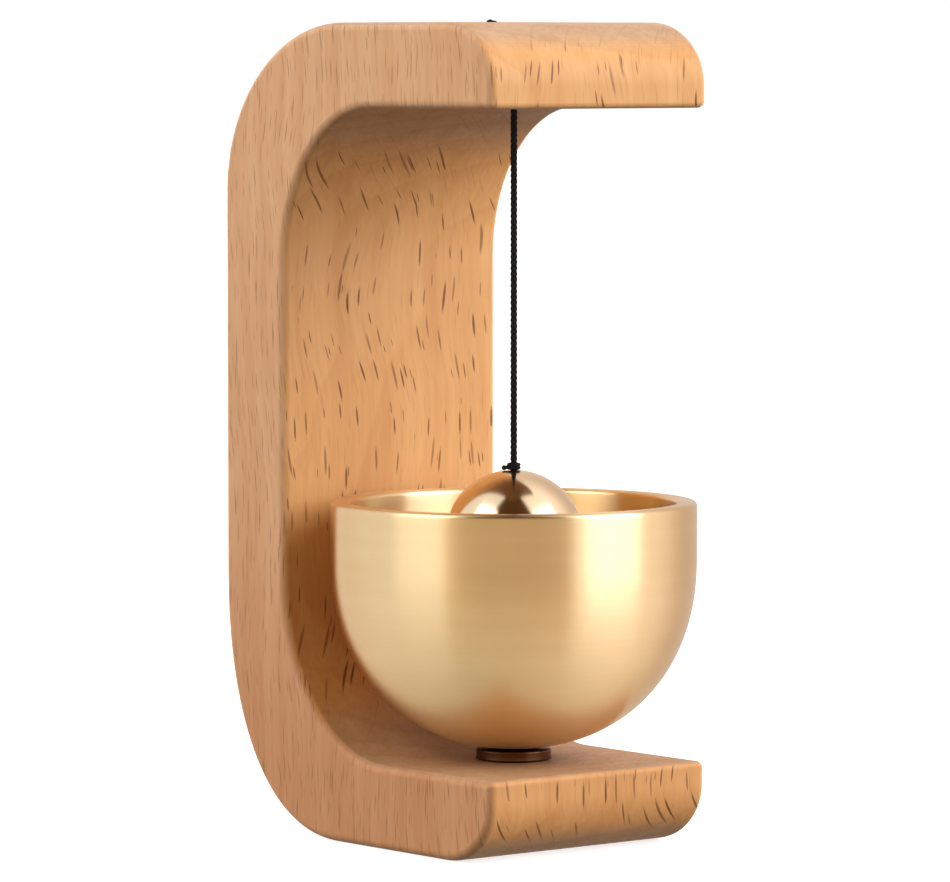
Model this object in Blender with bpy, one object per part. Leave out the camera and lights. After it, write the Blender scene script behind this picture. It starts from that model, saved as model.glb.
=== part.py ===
"""A hand bell for a desk or a door: a one-piece beech bracket, a brass cup and a ball on a cord.

Metres, +Z up. The origin lies under the middle of the whole bell, at the level it stands on.
The bracket's back faces +Y and its two arms reach towards -Y. The cup, the ball and the cord
share one upright axis, the bell axis, which stands at AXIS_Y.
"""

import math

import bmesh
import bpy
from mathutils import Matrix, Vector

MM = 0.001

# Clearances
GAP = 0.3 * MM  # between two pieces that touch
CORD_CLEARANCE = 0.35 * MM  # round the cord in its bores
CUP_BOARD_GAP = 1.85 * MM  # between the cup's side and the bracket's upright
RECESS_CLEARANCE = 0.8 * MM  # round a washer in its recess
KNOT_CLEARANCE = 0.5 * MM  # round a knot and its cut end in their recesses

# Bracket
HEIGHT = 105.0 * MM
WIDTH = 35.5 * MM
BOARD_THICKNESS = 12.8 * MM
ARM_THICKNESS = 10.8 * MM
ARM_REACH = 17.1 * MM  # from the bell axis to the arms' front faces
NOSE = (9.5 * MM, 8.0 * MM)  # rounding of the arms' outer front edges, along Y and Z
INNER_LOWER_CORNER = (20.0 * MM, 22.0 * MM)
INNER_UPPER_CORNER = (18.0 * MM, 20.0 * MM)
OUTER_UPPER_CORNER = (24.0 * MM, 22.0 * MM)
OUTER_LOWER_CORNER = (23.5 * MM, 34.0 * MM)
LOWER_CORNER_POWER = 2.25  # 2 is an ellipse; more is squarer
ARM_EDGE = 0.8 * MM  # softening of the arms' inner front edges
SIDE_EDGE = 1.1 * MM  # softening of all edges round the two side faces

# Cup
CUP_RADIUS = 23.45 * MM
CUP_HEIGHT = 31.7 * MM
CUP_WALL = 2.6 * MM
CUP_BOWL_DEPTH = 24.5 * MM  # the curved part, below the straight wall
CUP_POWER = 2.2
CUP_FOOT_RADIUS = 4.6 * MM
LIP_EDGE = 0.6 * MM

# Collar, screw, washers and nut that hold the cup
COLLAR_RADIUS = 4.9 * MM
COLLAR_HEIGHT = 0.9 * MM
SCREW_RADIUS = 2.0 * MM
SCREW_LENGTH = 18.0 * MM
SCREW_HEAD_RADIUS = 3.8 * MM
SCREW_HEAD_HEIGHT = 2.2 * MM
SCREW_SOCKET_ACROSS = 2.5 * MM
SCREW_SOCKET_DEPTH = 1.3 * MM
SCREW_HEAD_INSET = 0.4 * MM  # how far the head stays above the standing level
WASHER_RADIUS = 4.5 * MM
WASHER_HEIGHT = 0.8 * MM
NUT_ACROSS_FLATS = 7.0 * MM
NUT_HEIGHT = 3.2 * MM
SMALL_CHAMFER = 0.3 * MM

# Ball, cord and knots
BALL_RADIUS = 9.05 * MM
BALL_RISE = 3.95 * MM  # how far the ball stands above the cup's rim
CORD_RADIUS = 0.45 * MM
CORD_SPACING = 2.4  # distance between points of the cord, in diameters
TOP_KNOT_RADIUS = 1.5 * MM
TOP_KNOT_HEIGHT = 1.7 * MM
TOP_RECESS_DEPTH = 2.2 * MM
TAIL_REACH = 3.1 * MM  # from the bell axis to the middle of the cord's cut end
TAIL_BEARING = math.radians(141.0)
BALL_KNOT_RADIUS = 1.5 * MM
BALL_KNOT_HEIGHT = 2.0 * MM
BALL_RECESS_DEPTH = 2.2 * MM
HITCH_WALL = 0.5 * MM
HITCH_HEIGHT = 0.8 * MM

# Magnets in the back
MAGNET_RADIUS = 5.0 * MM
MAGNET_THICKNESS = 3.0 * MM
MAGNET_INSET = 0.2 * MM
MAGNET_SPACING = 38.0 * MM
MAGNET_MIDDLE = 56.5 * MM

# Worked out from the above
BOARD_FRONT = CUP_RADIUS + CUP_BOARD_GAP
BOARD_BACK = BOARD_FRONT + BOARD_THICKNESS
AXIS_Y = (max(CUP_RADIUS, ARM_REACH) - BOARD_BACK) / 2
UPPER_ARM_UNDERSIDE = HEIGHT - ARM_THICKNESS
LOWER_CORNER_REACH = min(INNER_LOWER_CORNER[0], BOARD_FRONT - COLLAR_RADIUS - GAP)
COLLAR_BASE = ARM_THICKNESS + GAP
CUP_BASE = COLLAR_BASE + COLLAR_HEIGHT + GAP
CUP_RIM = CUP_BASE + CUP_HEIGHT
SCREW_HOLE_RADIUS = SCREW_RADIUS + GAP
SCREW_HEAD_TOP = SCREW_HEAD_INSET + SCREW_HEAD_HEIGHT
SCREW_WASHER_BASE = SCREW_HEAD_TOP + GAP
SCREW_RECESS_DEPTH = SCREW_WASHER_BASE + WASHER_HEIGHT + GAP
SCREW_RECESS_RADIUS = WASHER_RADIUS + RECESS_CLEARANCE
CORD_BORE_RADIUS = CORD_RADIUS + CORD_CLEARANCE
BALL_CENTRE = CUP_RIM + BALL_RISE - BALL_RADIUS
BALL_RECESS_ROOF = BALL_CENTRE - BALL_RADIUS + BALL_RECESS_DEPTH
BALL_RECESS_RADIUS = BALL_KNOT_RADIUS + KNOT_CLEARANCE
TOP_RECESS_FLOOR = HEIGHT - TOP_RECESS_DEPTH
TOP_RECESS_RADIUS = TAIL_REACH + CORD_RADIUS + KNOT_CLEARANCE
MAGNET_RECESS_DEPTH = MAGNET_INSET + MAGNET_THICKNESS + GAP

ROUND_STEPS = 48  # sides of a large turned piece
SMALL_STEPS = 24  # sides of a small one


def material(name, colour, roughness, metallic):
    """A plain shaded material."""
    made = bpy.data.materials.new(name)
    made.use_nodes = True
    shader = made.node_tree.nodes["Principled BSDF"]
    shader.inputs["Base Color"].default_value = (*colour, 1.0)
    shader.inputs["Roughness"].default_value = roughness
    shader.inputs["Metallic"].default_value = metallic
    return made


def add_object(name, data, surface=None, parent=None):
    """An object in the scene, with its surface and its place under a parent."""
    made = bpy.data.objects.new(name, data)
    bpy.context.collection.objects.link(made)
    if surface:
        data.materials.append(surface)
    if parent:
        made.parent = parent
    return made


def add_mesh(name, bm, surface=None, parent=None):
    """An object from a finished bmesh, with its faces pointing outwards and smooth where round."""
    bmesh.ops.recalc_face_normals(bm, faces=bm.faces)
    mesh = bpy.data.meshes.new(name)
    bm.to_mesh(mesh)
    bm.free()
    mesh.shade_smooth()
    mesh.set_sharp_from_angle(angle=math.radians(30.0))
    return add_object(name, mesh, surface, parent)


def add_pivot(name, height):
    """An empty on the bell axis, which carries what turns about a point at this height."""
    pivot = bpy.data.objects.new(name, None)
    bpy.context.collection.objects.link(pivot)
    pivot.location = (0.0, AXIS_Y, height)
    return pivot


def stand_at(piece, height):
    """Puts a piece on the bell axis, at this height above the standing level."""
    base = piece.parent.location.z if piece.parent else 0.0
    piece.location = (0.0, 0.0 if piece.parent else AXIS_Y, height - base)
    return piece


def round_corner(centre, radii, start, end, steps, power=2.0):
    """Points along a corner's curve, from one angle to another in degrees."""
    points = []
    for n in range(steps + 1):
        angle = math.radians(start + (end - start) * n / steps)
        across, up = math.cos(angle), math.sin(angle)
        points.append(
            (
                centre[0] + radii[0] * math.copysign(abs(across) ** (2 / power), across),
                centre[1] + radii[1] * math.copysign(abs(up) ** (2 / power), up),
            )
        )
    return points


def turned(profile, steps):
    """A closed (radius, height) outline turned about Z."""
    bm = bmesh.new()
    verts = [bm.verts.new((r, 0.0, z)) for r, z in profile]
    edges = [bm.edges.new((a, b)) for a, b in zip(verts, verts[1:] + verts[:1])]
    bmesh.ops.spin(
        bm, geom=verts + edges, cent=(0, 0, 0), axis=(0, 0, 1), angle=math.tau, steps=steps
    )
    bmesh.ops.remove_doubles(bm, verts=bm.verts, dist=1e-6)
    return bm


def tube_profile(inner, outer, low, high, chamfer=0.0):
    """The outline of a ring or a washer, with its outer edges chamfered."""
    points = [(inner, low), (outer - chamfer, low)]
    if chamfer:
        points += [(outer, low + chamfer), (outer, high - chamfer)]
    else:
        points += [(outer, low)]
    return points + [(outer - chamfer, high), (inner, high)]


def cylinder(radius, depth, steps=SMALL_STEPS):
    """An upright cylinder that starts at height 0."""
    bm = bmesh.new()
    bmesh.ops.create_cone(
        bm, cap_ends=True, segments=steps, radius1=radius, radius2=radius, depth=depth
    )
    bmesh.ops.translate(bm, verts=bm.verts, vec=(0, 0, depth / 2))
    return bm


def hexagon(across_flats, height):
    """A six-sided prism that starts at height 0."""
    return cylinder(across_flats / 2 / math.cos(math.pi / 6), height, steps=6)


def boolean(piece, other, operation="DIFFERENCE"):
    """Cuts another object from a piece, or joins it on, and leaves that object out of the model."""
    other.hide_render = True
    other.display_type = "WIRE"
    change = piece.modifiers.new(other.name, "BOOLEAN")
    change.operation = operation
    change.solver = "EXACT"
    change.object = other


def bracket_outline():
    """The bracket's outline as (Y, Z) points, with Y counted from the bell axis."""
    front = -ARM_REACH
    top, edge = HEIGHT, ARM_EDGE
    (nose_y, nose_z), under = NOSE, UPPER_ARM_UNDERSIDE
    lower_in, upper_in = (LOWER_CORNER_REACH, INNER_LOWER_CORNER[1]), INNER_UPPER_CORNER
    lower_out, upper_out = OUTER_LOWER_CORNER, OUTER_UPPER_CORNER
    points = round_corner((front + edge, ARM_THICKNESS - edge), (edge, edge), 180, 90, 3)
    points += round_corner(
        (BOARD_FRONT - lower_in[0], ARM_THICKNESS + lower_in[1]), lower_in, -90, 0, 14
    )
    points += round_corner((BOARD_FRONT - upper_in[0], under - upper_in[1]), upper_in, 0, 90, 14)
    points += round_corner((front + edge, under + edge), (edge, edge), 270, 180, 3)
    points += round_corner((front + nose_y, top - nose_z), NOSE, 180, 90, 10)
    points += round_corner((BOARD_BACK - upper_out[0], top - upper_out[1]), upper_out, 90, 0, 16)
    points += round_corner(
        (BOARD_BACK - lower_out[0], lower_out[1]), lower_out, 0, -90, 18, LOWER_CORNER_POWER
    )
    points += round_corner((front + nose_y, nose_z), NOSE, 270, 180, 10)
    return points


def add_frame(surface):
    """The bracket: the outline across its width, its side edges softened, then its holes."""
    bm = bmesh.new()
    ring = [bm.verts.new((-WIDTH / 2, y, z)) for y, z in bracket_outline()]
    side = bm.faces.new(ring)
    moved = bmesh.ops.extrude_face_region(bm, geom=[side])["geom"]
    far = [v for v in moved if isinstance(v, bmesh.types.BMVert)]
    bmesh.ops.translate(bm, verts=far, vec=(WIDTH, 0, 0))
    rims = [e for e in bm.edges if abs(e.verts[0].co.x - e.verts[1].co.x) < WIDTH / 2]
    bmesh.ops.bevel(
        bm, geom=rims, offset=SIDE_EDGE, segments=3, profile=0.5, affect="EDGES", clamp_overlap=True
    )
    bmesh.ops.remove_doubles(bm, verts=bm.verts, dist=1e-6)
    frame = stand_at(add_mesh("frame", bm, surface), 0.0)

    over = BOARD_THICKNESS / 4  # how far a cutter runs past the wood
    cuts = (
        ("cord_bore", CORD_BORE_RADIUS, UPPER_ARM_UNDERSIDE - over, ARM_THICKNESS + 2 * over),
        ("knot_recess", TOP_RECESS_RADIUS, TOP_RECESS_FLOOR, TOP_RECESS_DEPTH + over),
        ("screw_hole", SCREW_HOLE_RADIUS, -over, ARM_THICKNESS + 2 * over),
        ("screw_recess", SCREW_RECESS_RADIUS, -over, SCREW_RECESS_DEPTH + over),
    )
    for name, radius, low, depth in cuts:
        boolean(frame, stand_at(add_mesh("cut_" + name, cylinder(radius, depth)), low))
    for name, height in magnet_heights().items():
        bm = cylinder(MAGNET_RADIUS + GAP, MAGNET_RECESS_DEPTH + over)
        cutter = add_mesh("cut_" + name, bm)
        cutter.rotation_euler = (-math.pi / 2, 0, 0)
        cutter.location = (0.0, AXIS_Y + BOARD_BACK - MAGNET_RECESS_DEPTH, height)
        boolean(frame, cutter)
    return frame


def magnet_heights():
    """The height of each magnet's middle, by name."""
    return {
        "lower_magnet": MAGNET_MIDDLE - MAGNET_SPACING / 2,
        "upper_magnet": MAGNET_MIDDLE + MAGNET_SPACING / 2,
    }


def add_magnets(surface):
    """Two discs let into the back, their faces just below the wood."""
    for name, height in magnet_heights().items():
        profile = tube_profile(0.0, MAGNET_RADIUS, 0.0, MAGNET_THICKNESS, SMALL_CHAMFER)
        magnet = add_mesh(name, turned(profile, SMALL_STEPS), surface)
        magnet.rotation_euler = (-math.pi / 2, 0, 0)
        magnet.location = (0.0, AXIS_Y + BOARD_BACK - MAGNET_INSET - MAGNET_THICKNESS, height)


def bowl_height(radius, widest, depth):
    """How far a bowl's curve has risen above its lowest point at this radius."""
    return depth * (1 - (1 - (radius / widest) ** CUP_POWER) ** (1 / CUP_POWER))


def bowl_curve(start_radius, widest, depth, steps):
    """(radius, rise) points of a bowl, from a start radius near its bottom up to its wall."""
    start = math.acos((1 - bowl_height(start_radius, widest, depth) / depth) ** (CUP_POWER / 2))
    points = []
    for n in range(steps + 1):
        angle = start + (math.pi / 2 - start) * n / steps
        reach = math.sin(angle) ** (2 / CUP_POWER)
        rise = 1 - max(math.cos(angle), 0.0) ** (2 / CUP_POWER)
        points.append((widest * reach, depth * rise))
    return points


def cup_floor():
    """The height of the flat floor inside the cup, above the cup's base."""
    inner, depth = CUP_RADIUS - CUP_WALL, CUP_BOWL_DEPTH - CUP_WALL
    return CUP_WALL + bowl_height(WASHER_RADIUS + RECESS_CLEARANCE, inner, depth)


def add_cup(surface):
    """The bell itself: a thick bowl with a straight upper wall, a small foot and a screw hole."""
    inner, depth = CUP_RADIUS - CUP_WALL, CUP_BOWL_DEPTH - CUP_WALL
    floor_radius = WASHER_RADIUS + RECESS_CLEARANCE
    outside = bowl_curve(CUP_FOOT_RADIUS, CUP_RADIUS, CUP_BOWL_DEPTH, 14)
    inside = [(r, z + CUP_WALL) for r, z in bowl_curve(floor_radius, inner, depth, 12)]
    lip = CUP_HEIGHT - LIP_EDGE
    profile = [(SCREW_HOLE_RADIUS, 0.0), (CUP_FOOT_RADIUS, 0.0)] + outside
    profile += round_corner((CUP_RADIUS - LIP_EDGE, lip), (LIP_EDGE, LIP_EDGE), 0, 90, 3)
    profile += round_corner((inner + LIP_EDGE, lip), (LIP_EDGE, LIP_EDGE), 90, 180, 3)
    profile += inside[::-1] + [(SCREW_HOLE_RADIUS, cup_floor())]
    stand_at(add_mesh("bell_cup", turned(profile, ROUND_STEPS), surface), CUP_BASE)


def add_cup_fixing(steel, fibre, collar_metal):
    """The collar under the cup, and the screw, washers and nut that clamp the stack."""
    hole = SCREW_HOLE_RADIUS
    collar = tube_profile(hole, COLLAR_RADIUS, 0.0, COLLAR_HEIGHT)
    washer = tube_profile(hole, WASHER_RADIUS, 0.0, WASHER_HEIGHT)
    inner_washer_base = CUP_BASE + cup_floor() + GAP
    nut_base = inner_washer_base + WASHER_HEIGHT + GAP
    stand_at(add_mesh("cup_collar", turned(collar, ROUND_STEPS), collar_metal), COLLAR_BASE)
    stand_at(add_mesh("screw_washer", turned(washer, SMALL_STEPS), steel), SCREW_WASHER_BASE)
    stand_at(add_mesh("cup_washer", turned(washer, SMALL_STEPS), fibre), inner_washer_base)

    nut = stand_at(add_mesh("cup_nut", hexagon(NUT_ACROSS_FLATS, NUT_HEIGHT), steel), nut_base)
    bore = cylinder(hole, NUT_HEIGHT * 2)
    boolean(nut, stand_at(add_mesh("cut_nut_bore", bore), nut_base - NUT_HEIGHT / 2))

    top = SCREW_HEAD_HEIGHT + SCREW_LENGTH
    head, shank = SCREW_HEAD_RADIUS, SCREW_RADIUS
    profile = [(0.0, 0.0), (head / 2, 0.0), (head - SMALL_CHAMFER, SCREW_HEAD_HEIGHT / 3)]
    profile += [(head, SCREW_HEAD_HEIGHT / 2), (head, SCREW_HEAD_HEIGHT)]
    profile += [(shank, SCREW_HEAD_HEIGHT), (shank, top - SMALL_CHAMFER)]
    profile += [(shank - SMALL_CHAMFER, top), (0.0, top)]
    screw = add_mesh("cup_screw", turned(profile, SMALL_STEPS), steel)
    stand_at(screw, SCREW_HEAD_INSET)
    socket = add_mesh("cut_screw_socket", hexagon(SCREW_SOCKET_ACROSS, SCREW_SOCKET_DEPTH * 2))
    boolean(screw, stand_at(socket, SCREW_HEAD_INSET - SCREW_SOCKET_DEPTH))


def add_cord(name, low, high, surface, parent):
    """A plumb stretch of cord on the bell axis, between two heights."""
    curve = bpy.data.curves.new(name, "CURVE")
    curve.dimensions = "3D"
    curve.bevel_depth = CORD_RADIUS
    curve.bevel_resolution = 2
    curve.use_fill_caps = True
    count = max(2, round((high - low) / (CORD_SPACING * 2 * CORD_RADIUS)) + 1)
    line = curve.splines.new("POLY")
    line.points.add(count - 1)
    for n, point in enumerate(line.points):
        point.co = (0.0, 0.0, (high - low) * n / (count - 1), 1.0)
    return stand_at(add_object(name, curve, surface, parent), low)


def add_knot(name, radius, height, low, surface, parent):
    """A round stopper knot, with its underside at this height."""
    bm = bmesh.new()
    bmesh.ops.create_uvsphere(bm, u_segments=16, v_segments=10, radius=1.0)
    bmesh.ops.scale(bm, verts=bm.verts, vec=(radius, radius, height / 2))
    return stand_at(add_mesh(name, bm, surface, parent), low + height / 2)


def add_top_knot(surface, pivot):
    """The knot in the upper arm, with the cord's short cut end lying beside it."""
    base = TOP_RECESS_FLOOR + GAP
    knot = add_knot("top_knot", TOP_KNOT_RADIUS, TOP_KNOT_HEIGHT, base, surface, pivot)
    start = Vector((0.0, AXIS_Y, base + TOP_KNOT_HEIGHT / 2))
    aside = Vector((math.cos(TAIL_BEARING), math.sin(TAIL_BEARING), 0.0)) * TAIL_REACH
    run = Vector((0.0, AXIS_Y, HEIGHT)) + aside - start
    bm = bmesh.new()
    bmesh.ops.create_uvsphere(bm, u_segments=12, v_segments=10, radius=CORD_RADIUS)
    outer_half = [v for v in bm.verts if v.co.z > CORD_RADIUS * 0.1]
    bmesh.ops.translate(bm, verts=outer_half, vec=(0, 0, run.length))
    bmesh.ops.transform(bm, verts=bm.verts, matrix=run.to_track_quat("Z", "Y").to_matrix().to_4x4())
    bmesh.ops.transform(bm, verts=bm.verts, matrix=Matrix.Translation(start))
    boolean(knot, add_mesh("join_cut_end", bm), "UNION")


def add_ball(surface, parent):
    """The striker: a ball bored for the cord, with a recess under it for the knot."""
    mouth = CORD_BORE_RADIUS + SMALL_CHAMFER
    first = math.acos(mouth / BALL_RADIUS)
    last = math.acos(BALL_RECESS_RADIUS / BALL_RADIUS)
    steps = 22
    bend = [first - (first + last) * n / steps for n in range(steps + 1)]
    profile = [(BALL_RADIUS * math.cos(a), BALL_RADIUS * math.sin(a)) for a in bend]
    roof = BALL_RECESS_ROOF - BALL_CENTRE
    profile += [(BALL_RECESS_RADIUS, roof), (CORD_BORE_RADIUS, roof)]
    profile += [(CORD_BORE_RADIUS, profile[0][1] - SMALL_CHAMFER)]
    ball = add_mesh("striker_ball", turned(profile, 40), surface, parent)
    return stand_at(ball, BALL_CENTRE)


def add_striker(brass, cord, hanger, swing):
    """The ball, the cord it hangs on and the three knots."""
    cord_top = UPPER_ARM_UNDERSIDE - GAP / 2
    knot_base = BALL_RECESS_ROOF - GAP - BALL_KNOT_HEIGHT
    hitch_inner = CORD_RADIUS + GAP
    add_top_knot(cord, hanger)
    add_cord("cord_in_arm", UPPER_ARM_UNDERSIDE + GAP / 2, TOP_RECESS_FLOOR, cord, hanger)
    add_cord("striker_cord", BALL_RECESS_ROOF, cord_top, cord, swing)
    add_ball(brass, swing)
    add_knot("ball_lower_knot", BALL_KNOT_RADIUS, BALL_KNOT_HEIGHT, knot_base, cord, swing)
    profile = tube_profile(
        hitch_inner, hitch_inner + HITCH_WALL, 0.0, HITCH_HEIGHT, SMALL_CHAMFER
    )
    hitch = add_mesh("ball_upper_knot", turned(profile, 16), cord, swing)
    stand_at(hitch, BALL_CENTRE + BALL_RADIUS + GAP)


def main():
    """Clears the scene and builds the bell."""
    for old in list(bpy.data.objects):
        bpy.data.objects.remove(old)
    beech = material("beech", (0.62, 0.36, 0.18), 0.5, 0.0)
    satin_brass = material("satin_brass", (0.78, 0.57, 0.28), 0.3, 1.0)
    polished_brass = material("polished_brass", (0.80, 0.55, 0.30), 0.06, 1.0)
    collar_metal = material("dark_steel", (0.20, 0.15, 0.12), 0.15, 1.0)
    steel = material("zinc_steel", (0.62, 0.62, 0.62), 0.3, 1.0)
    nickel = material("nickel", (0.70, 0.69, 0.66), 0.2, 1.0)
    fibre = material("fibre", (0.45, 0.12, 0.08), 0.8, 0.0)
    black_cord = material("black_cord", (0.015, 0.013, 0.012), 0.7, 0.0)

    add_frame(beech)
    add_magnets(nickel)
    add_cup(satin_brass)
    add_cup_fixing(steel, fibre, collar_metal)
    hanger = add_pivot("striker_turn_axis", UPPER_ARM_UNDERSIDE)
    swing = add_pivot("striker_swing_axis", UPPER_ARM_UNDERSIDE)
    add_striker(polished_brass, black_cord, hanger, swing)


main()
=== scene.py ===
"""The looks of a hand bell: a beech bracket, a satin brass cup and a bright ball on a black cord.

Metres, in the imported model's own frame: +Z up, the bracket's back towards +Y, and the cup, the
ball and the cord on one upright line, the bell axis. Each sub-assembly is a class that takes its
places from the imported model, shapes its pieces and dresses them in their finishes.
"""

import logging
import math
from dataclasses import dataclass
from enum import Enum

import bmesh
import bpy
from mathutils import Matrix, Vector


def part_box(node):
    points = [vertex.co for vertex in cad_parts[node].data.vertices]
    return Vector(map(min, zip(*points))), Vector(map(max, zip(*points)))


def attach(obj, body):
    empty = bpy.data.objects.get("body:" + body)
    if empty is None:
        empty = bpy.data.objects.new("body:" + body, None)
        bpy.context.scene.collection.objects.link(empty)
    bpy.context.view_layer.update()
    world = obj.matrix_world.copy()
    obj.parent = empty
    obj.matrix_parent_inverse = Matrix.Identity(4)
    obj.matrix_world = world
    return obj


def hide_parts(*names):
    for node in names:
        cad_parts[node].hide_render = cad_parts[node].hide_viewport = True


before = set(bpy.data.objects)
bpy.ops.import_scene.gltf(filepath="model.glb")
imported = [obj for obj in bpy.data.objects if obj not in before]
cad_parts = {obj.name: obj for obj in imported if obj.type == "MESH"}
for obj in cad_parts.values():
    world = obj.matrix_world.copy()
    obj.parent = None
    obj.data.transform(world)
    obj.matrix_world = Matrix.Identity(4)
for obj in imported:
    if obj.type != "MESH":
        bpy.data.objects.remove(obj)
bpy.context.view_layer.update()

log = logging.getLogger("hand_bell")

MM = 0.001
ARM_THICKNESS = 10.8 * MM
SCREW_HOLE = 2.3 * MM  # radius of the hole that the cup's screw passes through
Point = tuple[float, float]
Triple = tuple[float, float, float]
Colour = tuple[float, float, float]
Socket = bpy.types.NodeSocket


class Slot(Enum):
    """The finishes that the record names."""

    BEECH = "beech"
    SATIN_BRASS = "satin_brass"
    POLISHED_BRASS = "polished_brass"
    COLLAR = "collar_metal"
    STEEL = "zinc_steel"
    NICKEL = "nickel"
    FIBRE = "fibre"
    CORD = "black_cord"


class Body(Enum):
    """The parts that move as one."""

    BRACKET = "bracket"
    HANGER = "hanger"
    STRIKER = "striker"


class Cut(Enum):
    """What a cutter leaves of a piece."""

    OUTSIDE = "DIFFERENCE"
    INSIDE = "INTERSECT"


# ---------------------------------------------------------------------------------------------
# Node trees
# ---------------------------------------------------------------------------------------------


class Tree:
    """Adds and links the nodes of one node tree."""

    def __init__(self, tree: bpy.types.NodeTree) -> None:
        """Starts on an existing tree."""
        self.tree = tree

    def feed(self, socket: Socket, value: object) -> None:
        """Links a socket to another one, or sets its own value.

        Args:
            socket: The input to feed.
            value: An output socket, or a plain value.
        """
        if isinstance(value, Socket):
            self.tree.links.new(value, socket)
        else:
            socket.default_value = value

    def add(self, kind: str, sockets: dict | None = None, **settings: object) -> bpy.types.Node:
        """Adds a node.

        Args:
            kind: The node's type name.
            sockets: Values or links for its inputs, by name or number.
            settings: The node's own settings.

        Returns:
            The new node.
        """
        node = self.tree.nodes.new(kind)
        for name, value in settings.items():
            setattr(node, name, value)
        for name, value in (sockets or {}).items():
            self.feed(node.inputs[name], value)
        return node

    def math(self, operation: str, *values: object) -> Socket:
        """Adds a maths node and gives its result."""
        node = self.add("ShaderNodeMath", dict(enumerate(values)), operation=operation)
        return node.outputs[0]

    def vector(self, operation: str, *values: object) -> Socket:
        """Adds a vector maths node and gives its vector, or the number for a dot or a length."""
        node = self.add("ShaderNodeVectorMath", dict(enumerate(values)), operation=operation)
        return node.outputs["Value" if operation in ("DOT_PRODUCT", "LENGTH") else "Vector"]

    def scaled(self, vector: object, factor: object) -> Socket:
        """Scales a vector by a number."""
        node = self.add("ShaderNodeVectorMath", {0: vector, "Scale": factor}, operation="SCALE")
        return node.outputs["Vector"]

    def ramp(self, value: Socket, low: object, high: object, to: Point = (0.0, 1.0)) -> Socket:
        """A smooth step from one value to another.

        Args:
            value: What is mapped.
            low: Where the step starts.
            high: Where it ends.
            to: The results at its start and its end.

        Returns:
            The mapped value.
        """
        sockets = {"Value": value, "From Min": low, "From Max": high}
        sockets |= {"To Min": to[0], "To Max": to[1]}
        return self.add("ShaderNodeMapRange", sockets, interpolation_type="SMOOTHSTEP").outputs[0]

    def mix(self, factor: object, first: object, second: object, blend: str = "MIX") -> Socket:
        """Mixes two colours."""
        first, second = (c if isinstance(c, Socket) else (*c, 1.0) for c in (first, second))
        node = self.add("ShaderNodeMix", {0: factor, 6: first, 7: second}, data_type="RGBA")
        node.blend_type = blend
        return node.outputs[2]

    def noise(self, vector: object, scale: object, detail: float) -> Socket:
        """A noise value about one half."""
        sockets = {"Vector": vector, "Scale": scale, "Detail": detail}
        return self.add("ShaderNodeTexNoise", sockets).outputs[0]

    def combine(self, x: object, y: object, z: object) -> Socket:
        """A vector from three numbers."""
        return self.add("ShaderNodeCombineXYZ", {0: x, 1: y, 2: z}).outputs[0]

    def use(self, effect: bpy.types.NodeTree, **sockets: object) -> bpy.types.Node:
        """Places a shader node group, with its inputs named in lower case."""
        node = self.add("ShaderNodeGroup", node_tree=effect)
        for name, value in sockets.items():
            self.feed(node.inputs[name.replace("_", " ").title()], value)
        return node


class Group(Tree):
    """A node group under construction, with named inputs and outputs."""

    def __init__(
        self, name: str, kind: str, inputs: dict[str, str], outputs: dict[str, str]
    ) -> None:
        """Makes the empty group.

        Args:
            name: The group's name.
            kind: ShaderNodeTree or GeometryNodeTree.
            inputs: Socket kinds by socket name, such as Float or Vector.
            outputs: The same for the outputs.
        """
        super().__init__(bpy.data.node_groups.new(name, kind))
        for side, sockets in (("INPUT", inputs), ("OUTPUT", outputs)):
            for label, socket in sockets.items():
                self.tree.interface.new_socket(label, in_out=side, socket_type="NodeSocket" + socket)
        self.given = self.tree.nodes.new("NodeGroupInput").outputs
        self.result = self.tree.nodes.new("NodeGroupOutput").inputs


# ---------------------------------------------------------------------------------------------
# Shared surface effects
# ---------------------------------------------------------------------------------------------


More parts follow.
